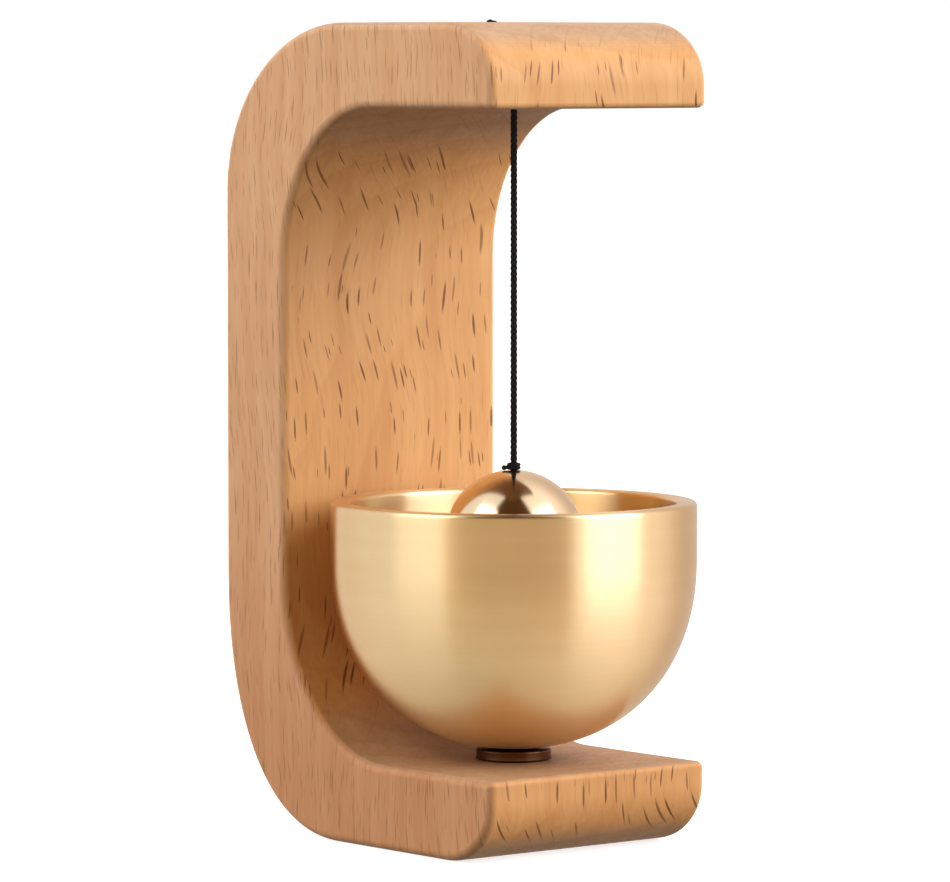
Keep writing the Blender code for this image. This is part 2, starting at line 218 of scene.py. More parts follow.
class Effects:
    """The shader node groups that more than one finish uses, each built once."""

    def __init__(self) -> None:
        """Builds every group."""
        self.flecks = self._flecks()
        self.fibres = self._fibres()
        self.rings = self._rings()
        self.wear = self._wear()
        self.lathe = self._lathe()
        self.smudges = self._smudges()

    @staticmethod
    def _flecks() -> bpy.types.NodeTree:
        """Ribbons that run along Y, each with a random size, strength and place in its cell."""
        inputs = {"Vector": "Vector", "Cell": "Vector", "Size": "Float", "Slim": "Float"}
        inputs |= {"Share": "Float", "Seed": "Float"}
        g = Group("flecks", "ShaderNodeTree", inputs, {"Mask": "Float"})
        given = g.given
        seed = g.combine(given["Seed"], given["Seed"], given["Seed"])
        place = g.vector("ADD", g.vector("DIVIDE", given["Vector"], given["Cell"]), seed)
        part = g.add("ShaderNodeSeparateXYZ", {0: place}).outputs
        flat = g.combine(part[0], part[2], 0.0)
        cells = g.add("ShaderNodeTexVoronoi", {"Vector": flat, "Scale": 1.0}, voronoi_dimensions="2D")
        draw = g.add("ShaderNodeSeparateColor", {0: cells.outputs["Color"]}).outputs
        radius = g.math("MULTIPLY", given["Size"], g.math("MULTIPLY_ADD", draw[0], 0.6, 0.4))
        away = g.vector("SUBTRACT", flat, cells.outputs["Position"])
        away = g.vector("LENGTH", g.vector("MULTIPLY", away, g.combine(given["Slim"], 1.0, 0.0)))
        spot = g.ramp(away, radius, g.math("MULTIPLY", radius, 0.45))
        spot = g.math("MULTIPLY", spot, g.math("LESS_THAN", draw[1], given["Share"]))
        mask = g.math("MULTIPLY", spot, g.math("MULTIPLY_ADD", draw[2], 0.5, 0.5))
        g.feed(g.result["Mask"], mask)
        return g.tree

    @staticmethod
    def _fibres() -> bpy.types.NodeTree:
        """Fine streaks along one direction."""
        g = Group("fibres", "ShaderNodeTree", {"Vector": "Vector", "Scale": "Vector"}, {"Value": "Float"})
        streak = g.noise(g.vector("MULTIPLY", g.given["Vector"], g.given["Scale"]), 1.0, 4.0)
        g.feed(g.result["Value"], g.ramp(streak, 0.3, 0.7))
        return g.tree

    @staticmethod
    def _rings() -> bpy.types.NodeTree:
        """Growth rings about a far centre: a slow darkening, then a quick return."""
        inputs = {"Vector": "Vector", "Centre": "Vector", "Spacing": "Float"}
        g = Group("growth_rings", "ShaderNodeTree", inputs, {"Value": "Float"})
        away = g.vector("SUBTRACT", g.given["Vector"], g.given["Centre"])
        flat = g.vector("MULTIPLY", away, (1.0, 1.0, 0.08))
        sway = g.math("MULTIPLY", g.noise(g.given["Vector"], 28.0, 2.0), 0.006)
        reach = g.math("ADD", g.vector("LENGTH", flat), sway)
        step = g.math("FRACT", g.math("DIVIDE", reach, g.given["Spacing"]))
        rise = g.math("POWER", step, 2.5)
        g.feed(g.result["Value"], g.math("MULTIPLY", rise, g.ramp(step, 1.0, 0.92)))
        return g.tree

    @staticmethod
    def _wear() -> bpy.types.NodeTree:
        """Where edges are rubbed, broken up by a coarse noise."""
        g = Group("edge_wear", "ShaderNodeTree", {"Vector": "Vector", "Scale": "Float"}, {"Mask": "Float"})
        rounded = g.add("ShaderNodeBevel", {"Radius": 0.35 * MM}, samples=4).outputs[0]
        plain = g.add("ShaderNodeNewGeometry").outputs["Normal"]
        turned = g.math("SUBTRACT", 1.0, g.vector("DOT_PRODUCT", rounded, plain))
        noise = g.add("ShaderNodeTexNoise", {"Vector": g.given["Vector"], "Scale": g.given["Scale"]})
        broken = g.ramp(noise.outputs[0], 0.3, 0.65, (0.35, 1.0))
        g.feed(g.result["Mask"], g.math("MULTIPLY", g.ramp(turned, 0.01, 0.18), broken))
        return g.tree

    @staticmethod
    def _lathe() -> bpy.types.NodeTree:
        """Turning marks round the Z axis: fine grooves and slow bands."""
        outputs = {"Fine": "Float", "Bands": "Float"}
        g = Group("lathe_marks", "ShaderNodeTree", {"Vector": "Vector", "Pitch": "Float"}, outputs)
        part = g.add("ShaderNodeSeparateXYZ", {0: g.given["Vector"]}).outputs
        radius = g.vector("LENGTH", g.combine(part[0], part[1], 0.0))
        turn = g.math("MULTIPLY", g.math("ARCTAN2", part[1], part[0]), 0.15 * MM)
        along = g.combine(radius, part[2], turn)
        fine = g.noise(g.vector("DIVIDE", along, g.combine(*[g.given["Pitch"]] * 3)), 1.0, 2.0)
        g.feed(g.result["Fine"], fine)
        g.feed(g.result["Bands"], g.noise(along, 420.0, 3.0))
        return g.tree

    @staticmethod
    def _smudges() -> bpy.types.NodeTree:
        """Handling marks: soft smears, and hairline scratches in two directions."""
        outputs = {"Smear": "Float", "Scratch": "Float"}
        g = Group("handling", "ShaderNodeTree", {"Vector": "Vector", "Scale": "Float"}, outputs)
        vector = g.scaled(g.given["Vector"], g.given["Scale"])
        g.feed(g.result["Smear"], g.ramp(g.noise(vector, 1.0, 5.0), 0.35, 0.7))
        lines = []
        for angle in (0.5, 2.1):
            turned = g.add("ShaderNodeVectorRotate", {"Vector": vector, "Angle": angle})
            turned.inputs["Axis"].default_value = (0.3, 0.5, 0.8)
            thin = g.vector("MULTIPLY", turned.outputs[0], (22.0, 22.0, 0.7))
            lines.append(g.ramp(g.noise(thin, 1.0, 1.0), 0.72, 0.8))
        g.feed(g.result["Scratch"], g.math("MAXIMUM", *lines))
        return g.tree


# ---------------------------------------------------------------------------------------------
# Finishes
# ---------------------------------------------------------------------------------------------


@dataclass(frozen=True)
class Finish:
    """One surface finish: a material, and the slot of the record that it stands for."""

    effects: Effects
    centre: Vector  # the point on the bell axis at the standing level
    slot: Slot

    def start(
        self, roughness: float, metallic: float, **fixed: object
    ) -> tuple[bpy.types.Material, Tree, bpy.types.Node]:
        """Makes the material and its shader.

        Args:
            roughness: The roughness where nothing else feeds it.
            metallic: 0 or 1.
            fixed: Other shader inputs that are the same all over, in lower case.

        Returns:
            The material, its tree and its shader.
        """
        material = bpy.data.materials.new(self.slot.value + "_finish")
        material.use_nodes = True
        tree = Tree(material.node_tree)
        shader = material.node_tree.nodes["Principled BSDF"]
        tree.feed(shader.inputs["Roughness"], roughness)
        tree.feed(shader.inputs["Metallic"], metallic)
        for name, value in fixed.items():
            tree.feed(shader.inputs[name.replace("_", " ").title().replace("Ior", "IOR")], value)
        return material, tree, shader

    def place(self, tree: Tree, lean: float = 0.0) -> Socket:
        """Object coordinates about the bell axis, leant a little to one side."""
        point = tree.add("ShaderNodeTexCoord").outputs["Object"]
        sockets = {"Vector": point, "Location": -self.centre, "Rotation": (lean, lean, 0.0)}
        return tree.add("ShaderNodeMapping", sockets).outputs[0]

    @staticmethod
    def relief(
        tree: Tree, shader: bpy.types.Node, height: Socket, depth: float, strength: float
    ) -> None:
        """Feeds a height to the shader's normal.

        Args:
            tree: The material's tree.
            shader: The shader.
            height: The height, from 0 to 1.
            depth: How far one unit of height stands out.
            strength: How strongly it shows.
        """
        sockets = {"Height": height, "Distance": depth, "Strength": strength}
        tree.feed(shader.inputs["Normal"], tree.add("ShaderNodeBump", sockets).outputs[0])


@dataclass(frozen=True)
class Beech(Finish):
    """Oiled steamed beech with upright grain: short dark ray flecks and fine pore strokes."""

    pale: Colour = (0.80, 0.455, 0.185)
    warm: Colour = (0.68, 0.335, 0.112)
    late: Colour = (0.53, 0.220, 0.068)
    quarter_and_sheen: Colour = (0.95, 1.05, 1.45)  # paler, bluer side faces: partly the tone of quartered grain where the rays show on edge, partly a painted sheen
    end: Colour = (0.74, 0.88, 1.30)  # tints the end grain
    foot_shade: Colour = (0.86, 0.74, 0.64)  # painted shade: darkens and reddens the wood towards its foot
    foot_shade_span: Point = (58.0 * MM, 6.0 * MM)
    pore: Colour = (0.27, 0.098, 0.033)
    ray: Colour = (0.175, 0.056, 0.014)
    ray_turn: float = math.radians(50.0)  # how far the ray ribbons run off the Y axis
    bold_cell: Triple = (1.25 * MM, 1.0, 5.6 * MM)  # room for one fleck: across, along, up
    small_cell: Triple = (1.0 * MM, 1.0, 3.9 * MM)
    pore_cell: Triple = (0.7 * MM, 1.0, 5.0 * MM)
    ring_centre: Triple = (0.03, 0.16, -0.4)  # the middle of the tree, far from the bell
    ring_spacing: float = 3.4 * MM

    def make(self) -> bpy.types.Material:
        """Builds the material."""
        material, tree, shader = self.start(0.5, 0.0, specular_ior_level=0.28)
        fx, place = self.effects, self.place(tree, math.radians(1.5))
        drift = tree.add("ShaderNodeTexNoise", {"Vector": place, "Scale": 48.0, "Detail": 1.0})
        drift = tree.vector("SUBTRACT", drift.outputs["Color"], (0.5, 0.5, 0.5))
        place = tree.vector("ADD", place, tree.vector("MULTIPLY", drift, (0.005, 0.005, 0.0)))
        ribbon = tree.add("ShaderNodeMapping", {"Vector": place, "Rotation": (0.0, 0.0, self.ray_turn)})
        ribbon = ribbon.outputs[0]
        normal = tree.add("ShaderNodeNewGeometry").outputs["True Normal"]
        facing = tree.add("ShaderNodeSeparateXYZ", {0: tree.vector("ABSOLUTE", normal)}).outputs
        flat_sawn = tree.ramp(facing[0], 0.75, 0.35)
        end_grain = tree.ramp(facing[2], 0.55, 0.9)

        bold = {"cell": self.bold_cell, "size": 0.46, "share": 0.5, "seed": 3.7, "slim": 3.1}
        fine = {"cell": self.small_cell, "size": 0.38, "share": 0.25, "seed": 7.9, "slim": 3.3}
        pore = {"cell": self.pore_cell, "size": 0.46, "share": 0.75, "seed": 11.3, "slim": 3.6}
        rays = tree.use(fx.flecks, vector=ribbon, **bold)
        small = tree.use(fx.flecks, vector=ribbon, **fine)
        rays = tree.math("MAXIMUM", rays.outputs[0], small.outputs[0])
        rays = tree.math("MULTIPLY", rays, tree.ramp(flat_sawn, 0.0, 1.0, (0.42, 1.0)))
        rays = tree.math("MULTIPLY", rays, tree.ramp(end_grain, 0.0, 0.8, (1.0, 0.14)))
        pores = tree.use(fx.flecks, vector=ribbon, **pore)
        pores = tree.math("MULTIPLY", pores.outputs[0], tree.ramp(flat_sawn, 0.0, 1.0, (0.95, 0.3)))
        pores = tree.math("MULTIPLY", pores, tree.ramp(end_grain, 0.0, 0.8, (1.0, 0.3)))
        streaks = tree.use(fx.fibres, vector=place, scale=(1500.0, 1500.0, 45.0)).outputs[0]
        wide = tree.use(fx.fibres, vector=place, scale=(260.0, 260.0, 12.0)).outputs[0]
        rings = tree.use(
            fx.rings, vector=place, centre=self.ring_centre, spacing=self.ring_spacing
        )
        cloud = tree.ramp(tree.noise(place, 34.0, 2.0), 0.3, 0.7)

        base = tree.mix(tree.math("MULTIPLY", wide, 0.55), self.pale, self.warm)
        base = tree.mix(tree.math("MULTIPLY", cloud, 0.25), base, self.warm)
        base = tree.mix(tree.math("MULTIPLY", rings.outputs[0], 0.2), base, self.late)
        base = tree.mix(tree.math("MULTIPLY", streaks, 0.16), base, self.late)
        base = tree.mix(end_grain, base, self.end, "MULTIPLY")
        # Partly painted sheen: the side faces are made paler and bluer than the front and back.
        base = tree.mix(tree.math("SUBTRACT", 1.0, flat_sawn), base, self.quarter_and_sheen, "MULTIPLY")
        # Painted shade: the wood darkens towards its foot, most on the side faces.
        foot = tree.ramp(tree.add("ShaderNodeSeparateXYZ", {0: place}).outputs[2], *self.foot_shade_span)
        foot = tree.math("MULTIPLY", foot, tree.ramp(flat_sawn, 0.0, 1.0, (1.0, 0.4)))
        base = tree.mix(foot, base, self.foot_shade, "MULTIPLY")
        base = tree.mix(tree.math("MULTIPLY", pores, 0.62), base, self.pore)
        base = tree.mix(tree.math("MULTIPLY", rays, 0.9), base, self.ray)
        wear = tree.use(fx.wear, vector=place, scale=160.0).outputs[0]
        base = tree.mix(tree.math("MULTIPLY", wear, 0.25), base, self.pale)
        tree.feed(shader.inputs["Base Color"], base)

        gloss = tree.math("MULTIPLY_ADD", streaks, 0.1, 0.46)
        gloss = tree.math("MULTIPLY_ADD", pores, 0.2, gloss)
        tree.feed(shader.inputs["Roughness"], tree.math("MULTIPLY_ADD", wear, -0.08, gloss))
        height = tree.math("MULTIPLY_ADD", streaks, 0.15, 0.8)
        height = tree.math("SUBTRACT", height, tree.math("MAXIMUM", rays, pores))
        self.relief(tree, shader, height, 0.04 * MM, 0.5)
        return material


@dataclass(frozen=True)
class SatinBrass(Finish):
    """Brass turned on a lathe and brushed round and round: highlights stretch upright."""

    body: Colour = (0.87, 0.67, 0.39)
    deep: Colour = (0.78, 0.55, 0.27)
    worn: Colour = (0.95, 0.79, 0.50)
    pitch: float = 0.11 * MM
    roughness: float = 0.29
    stretch: float = 0.93
    banding: float = 0.14

    def make(self) -> bpy.types.Material:
        """Builds the material."""
        fixed = {"anisotropic": self.stretch, "anisotropic_rotation": 0.25}
        material, tree, shader = self.start(self.roughness, 1.0, **fixed)
        fx, place = self.effects, self.place(tree)
        marks = tree.use(fx.lathe, vector=place, pitch=self.pitch).outputs
        hand = tree.use(fx.smudges, vector=place, scale=55.0).outputs
        wear = tree.use(fx.wear, vector=place, scale=300.0).outputs[0]
        bands = tree.ramp(marks["Bands"], 0.35, 0.65, (0.0, self.banding))
        base = tree.mix(bands, self.body, self.deep)
        base = tree.mix(tree.ramp(marks["Fine"], 0.4, 0.7, (0.0, 0.14)), base, self.deep)
        base = tree.mix(tree.math("MULTIPLY", hand["Smear"], 0.12), base, self.deep)
        base = tree.mix(tree.math("MULTIPLY", wear, 0.5), base, self.worn)
        tree.feed(shader.inputs["Base Color"], base)
        rough = tree.math("MULTIPLY_ADD", bands, 0.12, self.roughness)
        rough = tree.math("MULTIPLY_ADD", hand["Smear"], 0.04, rough)
        tree.feed(shader.inputs["Roughness"], tree.math("MULTIPLY_ADD", wear, -0.008, rough))
        round_axis = tree.add("ShaderNodeTangent", direction_type="RADIAL", axis="Z").outputs[0]
        tree.feed(shader.inputs["Tangent"], round_axis)
        self.relief(tree, shader, marks["Fine"], 0.003 * MM, 0.12)
        return material


@dataclass(frozen=True)
class BrightMetal(Finish):
    """A polished or plated metal with faint turning marks, smears and hairlines."""

    body: Colour = (0.92, 0.75, 0.50)
    deep: Colour = (0.82, 0.60, 0.35)
    roughness: float = 0.05
    smear: float = 0.06
    pitch: float = 0.12 * MM
    scratch_depth: float = 0.003 * MM

    def make(self) -> bpy.types.Material:
        """Builds the material."""
        material, tree, shader = self.start(self.roughness, 1.0)
        fx, place = self.effects, self.place(tree)
        marks = tree.use(fx.lathe, vector=place, pitch=self.pitch).outputs
        hand = tree.use(fx.smudges, vector=place, scale=170.0).outputs
        wear = tree.use(fx.wear, vector=place, scale=400.0).outputs[0]
        base = tree.mix(tree.math("MULTIPLY", hand["Smear"], 0.3), self.body, self.deep)
        base = tree.mix(tree.ramp(marks["Bands"], 0.4, 0.7, (0.0, 0.2)), base, self.deep)
        tree.feed(shader.inputs["Base Color"], tree.mix(tree.math("MULTIPLY", wear, 0.4), base, self.body))
        rough = tree.math("MULTIPLY_ADD", hand["Smear"], self.smear, self.roughness)
        rough = tree.math("MULTIPLY_ADD", marks["Fine"], self.smear / 2, rough)
        tree.feed(shader.inputs["Roughness"], tree.math("MULTIPLY_ADD", hand["Scratch"], 0.15, rough))
        height = tree.math("SUBTRACT", marks["Fine"], hand["Scratch"])
        self.relief(tree, shader, height, self.scratch_depth, 0.2)
        return material


@dataclass(frozen=True)
class VulcanFibre(Finish):
    """Pressed red fibre: matt, mottled and faintly fuzzy."""

    body: Colour = (0.42, 0.10, 0.06)
    dark: Colour = (0.24, 0.05, 0.035)

    def make(self) -> bpy.types.Material:
        """Builds the material."""
        material, tree, shader = self.start(0.8, 0.0, sheen_weight=0.15)
        place = self.place(tree)
        mottle = tree.ramp(tree.noise(place, 900.0, 4.0), 0.35, 0.65)
        felt = tree.noise(place, 4200.0, 3.0)
        wear = tree.use(self.effects.wear, vector=place, scale=900.0).outputs[0]
        base = tree.mix(mottle, self.body, self.dark)
        tree.feed(shader.inputs["Base Color"], tree.mix(tree.math("MULTIPLY", wear, 0.3), base, self.body))
        tree.feed(shader.inputs["Roughness"], tree.math("MULTIPLY_ADD", mottle, 0.12, 0.7))
        self.relief(tree, shader, felt, 0.03 * MM, 0.5)
        return material


@dataclass(frozen=True)
class WaxedCord(Finish):
    """Braided polyester, dyed black and waxed."""

    body: Colour = (0.0035, 0.003, 0.003)
    dusty: Colour = (0.018, 0.014, 0.012)

    def make(self) -> bpy.types.Material:
        """Builds the material."""
        fixed = {"sheen_weight": 0.03, "specular_ior_level": 0.3}
        material, tree, shader = self.start(0.6, 0.0, **fixed)
        place = self.place(tree)
        thread = tree.use(self.effects.fibres, vector=place, scale=(9000.0, 9000.0, 1800.0)).outputs[0]
        dust = tree.ramp(tree.noise(place, 1300.0, 3.0), 0.45, 0.75)
        base = tree.mix(tree.math("MULTIPLY", thread, 0.35), self.body, self.dusty)
        tree.feed(shader.inputs["Base Color"], tree.mix(tree.math("MULTIPLY", dust, 0.4), base, self.dusty))
        tree.feed(shader.inputs["Roughness"], tree.math("MULTIPLY_ADD", dust, 0.2, 0.5))
        self.relief(tree, shader, thread, 0.02 * MM, 0.6)
        return material


class Wardrobe:
    """Every finish, made once, by slot."""

    def __init__(self, centre: Vector) -> None:
        """Makes the effects, then the finishes that use them."""
        fx = Effects()
        polished = {"body": (0.92, 0.75, 0.50), "deep": (0.84, 0.63, 0.38), "roughness": 0.13}
        polished |= {"stretch": 0.8, "banding": 0.06, "pitch": 0.08 * MM}
        bronzed = {"body": (0.18, 0.09, 0.045), "deep": (0.09, 0.04, 0.02), "roughness": 0.1}
        steel = {"body": (0.66, 0.66, 0.64), "deep": (0.45, 0.46, 0.47), "roughness": 0.24}
        steel |= {"smear": 0.14, "scratch_depth": 0.006 * MM}
        nickel = {"body": (0.72, 0.70, 0.66), "deep": (0.55, 0.53, 0.50), "roughness": 0.14}
        finishes = (
            Beech(fx, centre, Slot.BEECH),
            SatinBrass(fx, centre, Slot.SATIN_BRASS),
            SatinBrass(fx, centre, Slot.POLISHED_BRASS, **polished),
            BrightMetal(fx, centre, Slot.COLLAR, **bronzed),
            BrightMetal(fx, centre, Slot.STEEL, **steel),
            BrightMetal(fx, centre, Slot.NICKEL, **nickel),
            VulcanFibre(fx, centre, Slot.FIBRE),
            WaxedCord(fx, centre, Slot.CORD),
        )
        self.materials = {finish.slot: finish.make() for finish in finishes}


# ---------------------------------------------------------------------------------------------
# Shaping
# ---------------------------------------------------------------------------------------------


class Shapes:
    """The two Geometry Nodes trees, and the ways in which pieces are shaped with them."""

    def __init__(self) -> None:
        """Builds both trees."""
        self.turning = self._turning()
        self.braiding = self._braiding()

    @staticmethod
    def _turning() -> bpy.types.NodeTree:
        """A lathe: turns the guide's points about Z, with a screw thread where one is asked for."""
        inputs = {"Profile": "Geometry", "Steps": "Int", "Thread Depth": "Float"}
        inputs |= {"Thread Pitch": "Float", "Thread Low": "Float", "Thread High": "Float"}
        inputs |= {"Surface": "Material"}
        g = Group("turned_piece", "GeometryNodeTree", inputs, {"Piece": "Geometry"})
        given = g.given
        size = g.add("GeometryNodeAttributeDomainSize", {0: given["Profile"]}).outputs["Point Count"]
        columns = g.math("ADD", given["Steps"], 1.0)
        grid = g.add("GeometryNodeMeshGrid", {"Size X": 1.0, "Size Y": 1.0})
        g.feed(grid.inputs["Vertices X"], columns)
        g.feed(grid.inputs["Vertices Y"], size)
        index = g.add("GeometryNodeInputIndex").outputs[0]
        row = g.math("MODULO", index, size)
        column = g.math("FLOOR", g.math("DIVIDE", g.math("ADD", index, 0.5), size))
        here = g.add("GeometryNodeInputPosition").outputs[0]
        sample = g.add("GeometryNodeSampleIndex", {0: given["Profile"]}, data_type="FLOAT_VECTOR")
        g.feed(sample.inputs["Value"], here)
        g.feed(sample.inputs["Index"], row)
        part = g.add("ShaderNodeSeparateXYZ", {0: sample.outputs[0]}).outputs
        share = g.math("DIVIDE", column, given["Steps"])
        wave = g.math("FRACT", g.math("SUBTRACT", g.math("DIVIDE", part[2], given["Thread Pitch"]), share))
        groove = g.math("ABSOLUTE", g.math("MULTIPLY_ADD", wave, 2.0, -1.0))
        over = g.math("GREATER_THAN", part[2], given["Thread Low"])
        under = g.math("LESS_THAN", part[2], given["Thread High"])
        depth = g.math("MULTIPLY", given["Thread Depth"], g.math("MULTIPLY", over, under))
        radius = g.math("SUBTRACT", part[0], g.math("MULTIPLY", groove, depth))
        angle = g.math("MULTIPLY", share, math.tau)
        x, y = (g.math("MULTIPLY", radius, g.math(wave_of, angle)) for wave_of in ("COSINE", "SINE"))
        moved = g.add("GeometryNodeSetPosition", {0: grid.outputs["Mesh"]})
        g.feed(moved.inputs["Position"], g.combine(x, y, part[2]))
        closed = g.add("GeometryNodeMergeByDistance", {0: moved.outputs[0], "Distance": 0.0004 * MM})
        return Shapes._finish_tree(g, closed.outputs[0])

    @staticmethod
    def _braiding() -> bpy.types.NodeTree:
        """A braid along the guide's line: strands that pass over and under each other on a core."""
        inputs = {"Line": "Geometry", "Strands": "Int", "Reach": "Float", "Swell": "Float"}
        inputs |= {"Strand Radius": "Float", "Pitch": "Float", "Steps": "Int", "Surface": "Material"}
        g = Group("braided_cord", "GeometryNodeTree", inputs, {"Piece": "Geometry"})
        given = g.given
        line = g.add("GeometryNodeMeshToCurve", {0: given["Line"]}).outputs[0]
        step = g.math("DIVIDE", given["Pitch"], given["Steps"])
        line = g.add("GeometryNodeResampleCurve", {0: line}, mode="LENGTH")
        g.feed(line.inputs["Length"], step)
        line = line.outputs[0]
        copies = g.add("GeometryNodeDuplicateElements", {0: line}, domain="SPLINE")
        g.feed(copies.inputs["Amount"], given["Strands"])
        number = copies.outputs["Duplicate Index"]
        pairs = g.math("DIVIDE", given["Strands"], 2.0)
        odd = g.math("MODULO", number, 2.0)
        way = g.math("MULTIPLY_ADD", odd, -2.0, 1.0)
        phase = g.math("MULTIPLY", g.math("FLOOR", g.math("DIVIDE", number, 2.0)), math.tau)
        phase = g.math("DIVIDE", phase, pairs)
        length = g.add("GeometryNodeSplineParameter").outputs["Length"]
        turn = g.math("MULTIPLY", g.math("DIVIDE", length, given["Pitch"]), math.tau)
        angle = g.math("MULTIPLY_ADD", turn, way, phase)
        lift = g.math("MULTIPLY", g.math("COSINE", g.math("MULTIPLY", turn, pairs)), given["Swell"])
        reach = g.math("MULTIPLY_ADD", lift, way, given["Reach"])
        normal = g.add("GeometryNodeInputNormal").outputs[0]
        tangent = g.add("GeometryNodeInputTangent").outputs[0]
        aside = g.vector("CROSS_PRODUCT", tangent, normal)
        across = g.scaled(normal, g.math("MULTIPLY", reach, g.math("COSINE", angle)))
        beside = g.scaled(aside, g.math("MULTIPLY", reach, g.math("SINE", angle)))
        moved = g.add("GeometryNodeSetPosition", {0: copies.outputs[0]})
        g.feed(moved.inputs["Offset"], g.vector("ADD", across, beside))
        parts = []
        strand, core = given["Strand Radius"], g.math("MULTIPLY", given["Reach"], 0.86)
        for curve, radius, sides in ((moved.outputs[0], strand, 6), (line, core, 8)):
            ring = g.add("GeometryNodeCurvePrimitiveCircle", {"Resolution": sides})
            g.feed(ring.inputs["Radius"], radius)
            sockets = {"Curve": curve, "Profile Curve": ring.outputs[0], "Fill Caps": True}
            parts.append(g.add("GeometryNodeCurveToMesh", sockets).outputs[0])
        join = g.add("GeometryNodeJoinGeometry")
        for part in parts:
            g.feed(join.inputs[0], part)
        return Shapes._finish_tree(g, join.outputs[0])

    @staticmethod
    def _finish_tree(g: Group, geometry: Socket) -> bpy.types.NodeTree:
        """Ends a tree: smooth faces, real geometry, and the finish."""
        smooth = g.add("GeometryNodeSetShadeSmooth", {0: geometry}).outputs[0]
        real = g.add("GeometryNodeRealizeInstances", {0: smooth}).outputs[0]
        dressed = g.add("GeometryNodeSetMaterial", {0: real})
        g.feed(dressed.inputs["Material"], g.given["Surface"])
        g.feed(g.result["Piece"], dressed.outputs[0])
        return g.tree

    @staticmethod
    def grow(
        name: str, points: list, tree: bpy.types.NodeTree, closed: bool = False, **inputs: object
    ) -> bpy.types.Object:
        """Runs a tree on a line of points and keeps the result as a plain mesh.

        Args:
            name: The piece's name.
            points: The guide's points.
            tree: The Geometry Nodes tree.
            closed: Whether the line's ends are joined.
            inputs: The tree's inputs, in lower case.

        Returns:
            The piece, with its faces pointing outwards.
        """
        guide_mesh = bpy.data.meshes.new(name + "_guide")
        edges = [(n, n + 1) for n in range(len(points) - 1)]
        edges += [(len(points) - 1, 0)] if closed else []
        guide_mesh.from_pydata([tuple(p) for p in points], edges, [])
        guide = bpy.data.objects.new(name + "_guide", guide_mesh)
        bpy.context.scene.collection.objects.link(guide)
        change = guide.modifiers.new("shape", "NODES")
        change.node_group = tree
        for item in tree.interface.items_tree:
            key = item.name.lower().replace(" ", "_")
            if item.in_out == "INPUT" and key in inputs:
                change[item.identifier] = inputs[key]
        piece = Shapes.freeze(name, guide)
        bpy.data.objects.remove(guide)
        return piece

    @staticmethod
    def freeze(name: str, source: bpy.types.Object) -> bpy.types.Object:
        """A plain mesh object of what a source and its modifiers make."""
        bpy.context.view_layer.update()
        graph = bpy.context.evaluated_depsgraph_get()
        mesh = bpy.data.meshes.new_from_object(source.evaluated_get(graph), depsgraph=graph)
        mesh.name = name
        piece = bpy.data.objects.new(name, mesh)
        bpy.context.scene.collection.objects.link(piece)
        return piece

    @staticmethod
    def tidy(piece: bpy.types.Object, sharp: float = 32.0) -> bpy.types.Object:
        """Points a piece's faces outwards and keeps its hard edges hard."""
        bm = bmesh.new()
        bm.from_mesh(piece.data)
        bmesh.ops.recalc_face_normals(bm, faces=bm.faces)
        bm.to_mesh(piece.data)
        bm.free()
        piece.data.shade_smooth()
        piece.data.set_sharp_from_angle(angle=math.radians(sharp))
        return piece

    def turned(
        self, name: str, profile: list, surface: bpy.types.Material, place: Matrix, **thread: object
    ) -> bpy.types.Object:
        """A turned piece.

        Args:
            name: The piece's name.
            profile: (radius, height) points, closed on themselves or on the axis.
            surface: Its finish.
            place: Where its axis and base go.
            thread: The thread's depth, pitch, low and high, and the number of steps round.

        Returns:
            The piece, with its place in its mesh.
        """
        given = {"steps": 96, "thread_depth": 0.0, "thread_pitch": 1.0, "thread_low": 0.0}
        given |= {"thread_high": 0.0} | thread | {"surface": surface}
        points = [(radius, 0.0, height) for radius, height in profile]
        piece = self.tidy(self.grow(name, points, self.turning, **given))
        piece.data.transform(place)
        return piece

    def braided(
        self, name: str, points: list, radius: float, surface: bpy.types.Material, closed: bool = False
    ) -> bpy.types.Object:
        """A braided cord along a line.

        Args:
            name: The piece's name.
            points: The line.
            radius: The cord's outer radius.
            surface: Its finish.
            closed: Whether it is a loop.

        Returns:
            The piece.
        """
        ends = points + points[:1] if closed else points
        length = sum((Vector(b) - Vector(a)).length for a, b in zip(ends, ends[1:]))
        pitch = length / max(1, round(length / (radius * 6.6)))
        inputs = {"strands": 8, "reach": radius * 0.745, "swell": radius * 0.035}
        inputs |= {"strand_radius": radius * 0.22, "pitch": pitch, "steps": 24, "surface": surface}
        return self.tidy(self.grow(name, points, self.braiding, closed, **inputs), 60.0)

    @staticmethod
    def cut(piece: bpy.types.Object, cutters: list, kept: Cut = Cut.OUTSIDE) -> bpy.types.Object:
        """Cuts a piece with others, which are then gone.

        Args:
            piece: The piece to cut.
            cutters: The shapes to cut it with.
            kept: Which side of the cutters is kept.

        Returns:
            The finished piece.
        """
        name = piece.name
        for cutter in cutters:
            change = piece.modifiers.new(cutter.name, "BOOLEAN")
            change.operation, change.solver, change.object = kept.value, "EXACT", cutter
        made = Shapes.freeze(name + "_cut", piece)
        for gone in (piece, *cutters):
            bpy.data.objects.remove(gone)
        made.name = name
        return made

    @staticmethod
    def joined(name: str, pieces: list) -> bpy.types.Object:
        """One object of several."""
        bm = bmesh.new()
        for piece in pieces:
            bm.from_mesh(piece.data)
        mesh = bpy.data.meshes.new(name)
        bm.to_mesh(mesh)
        bm.free()
        for material in pieces[0].data.materials:
            mesh.materials.append(material)
        for piece in pieces:
            bpy.data.objects.remove(piece)
        made = bpy.data.objects.new(name, mesh)
        bpy.context.scene.collection.objects.link(made)
        return made


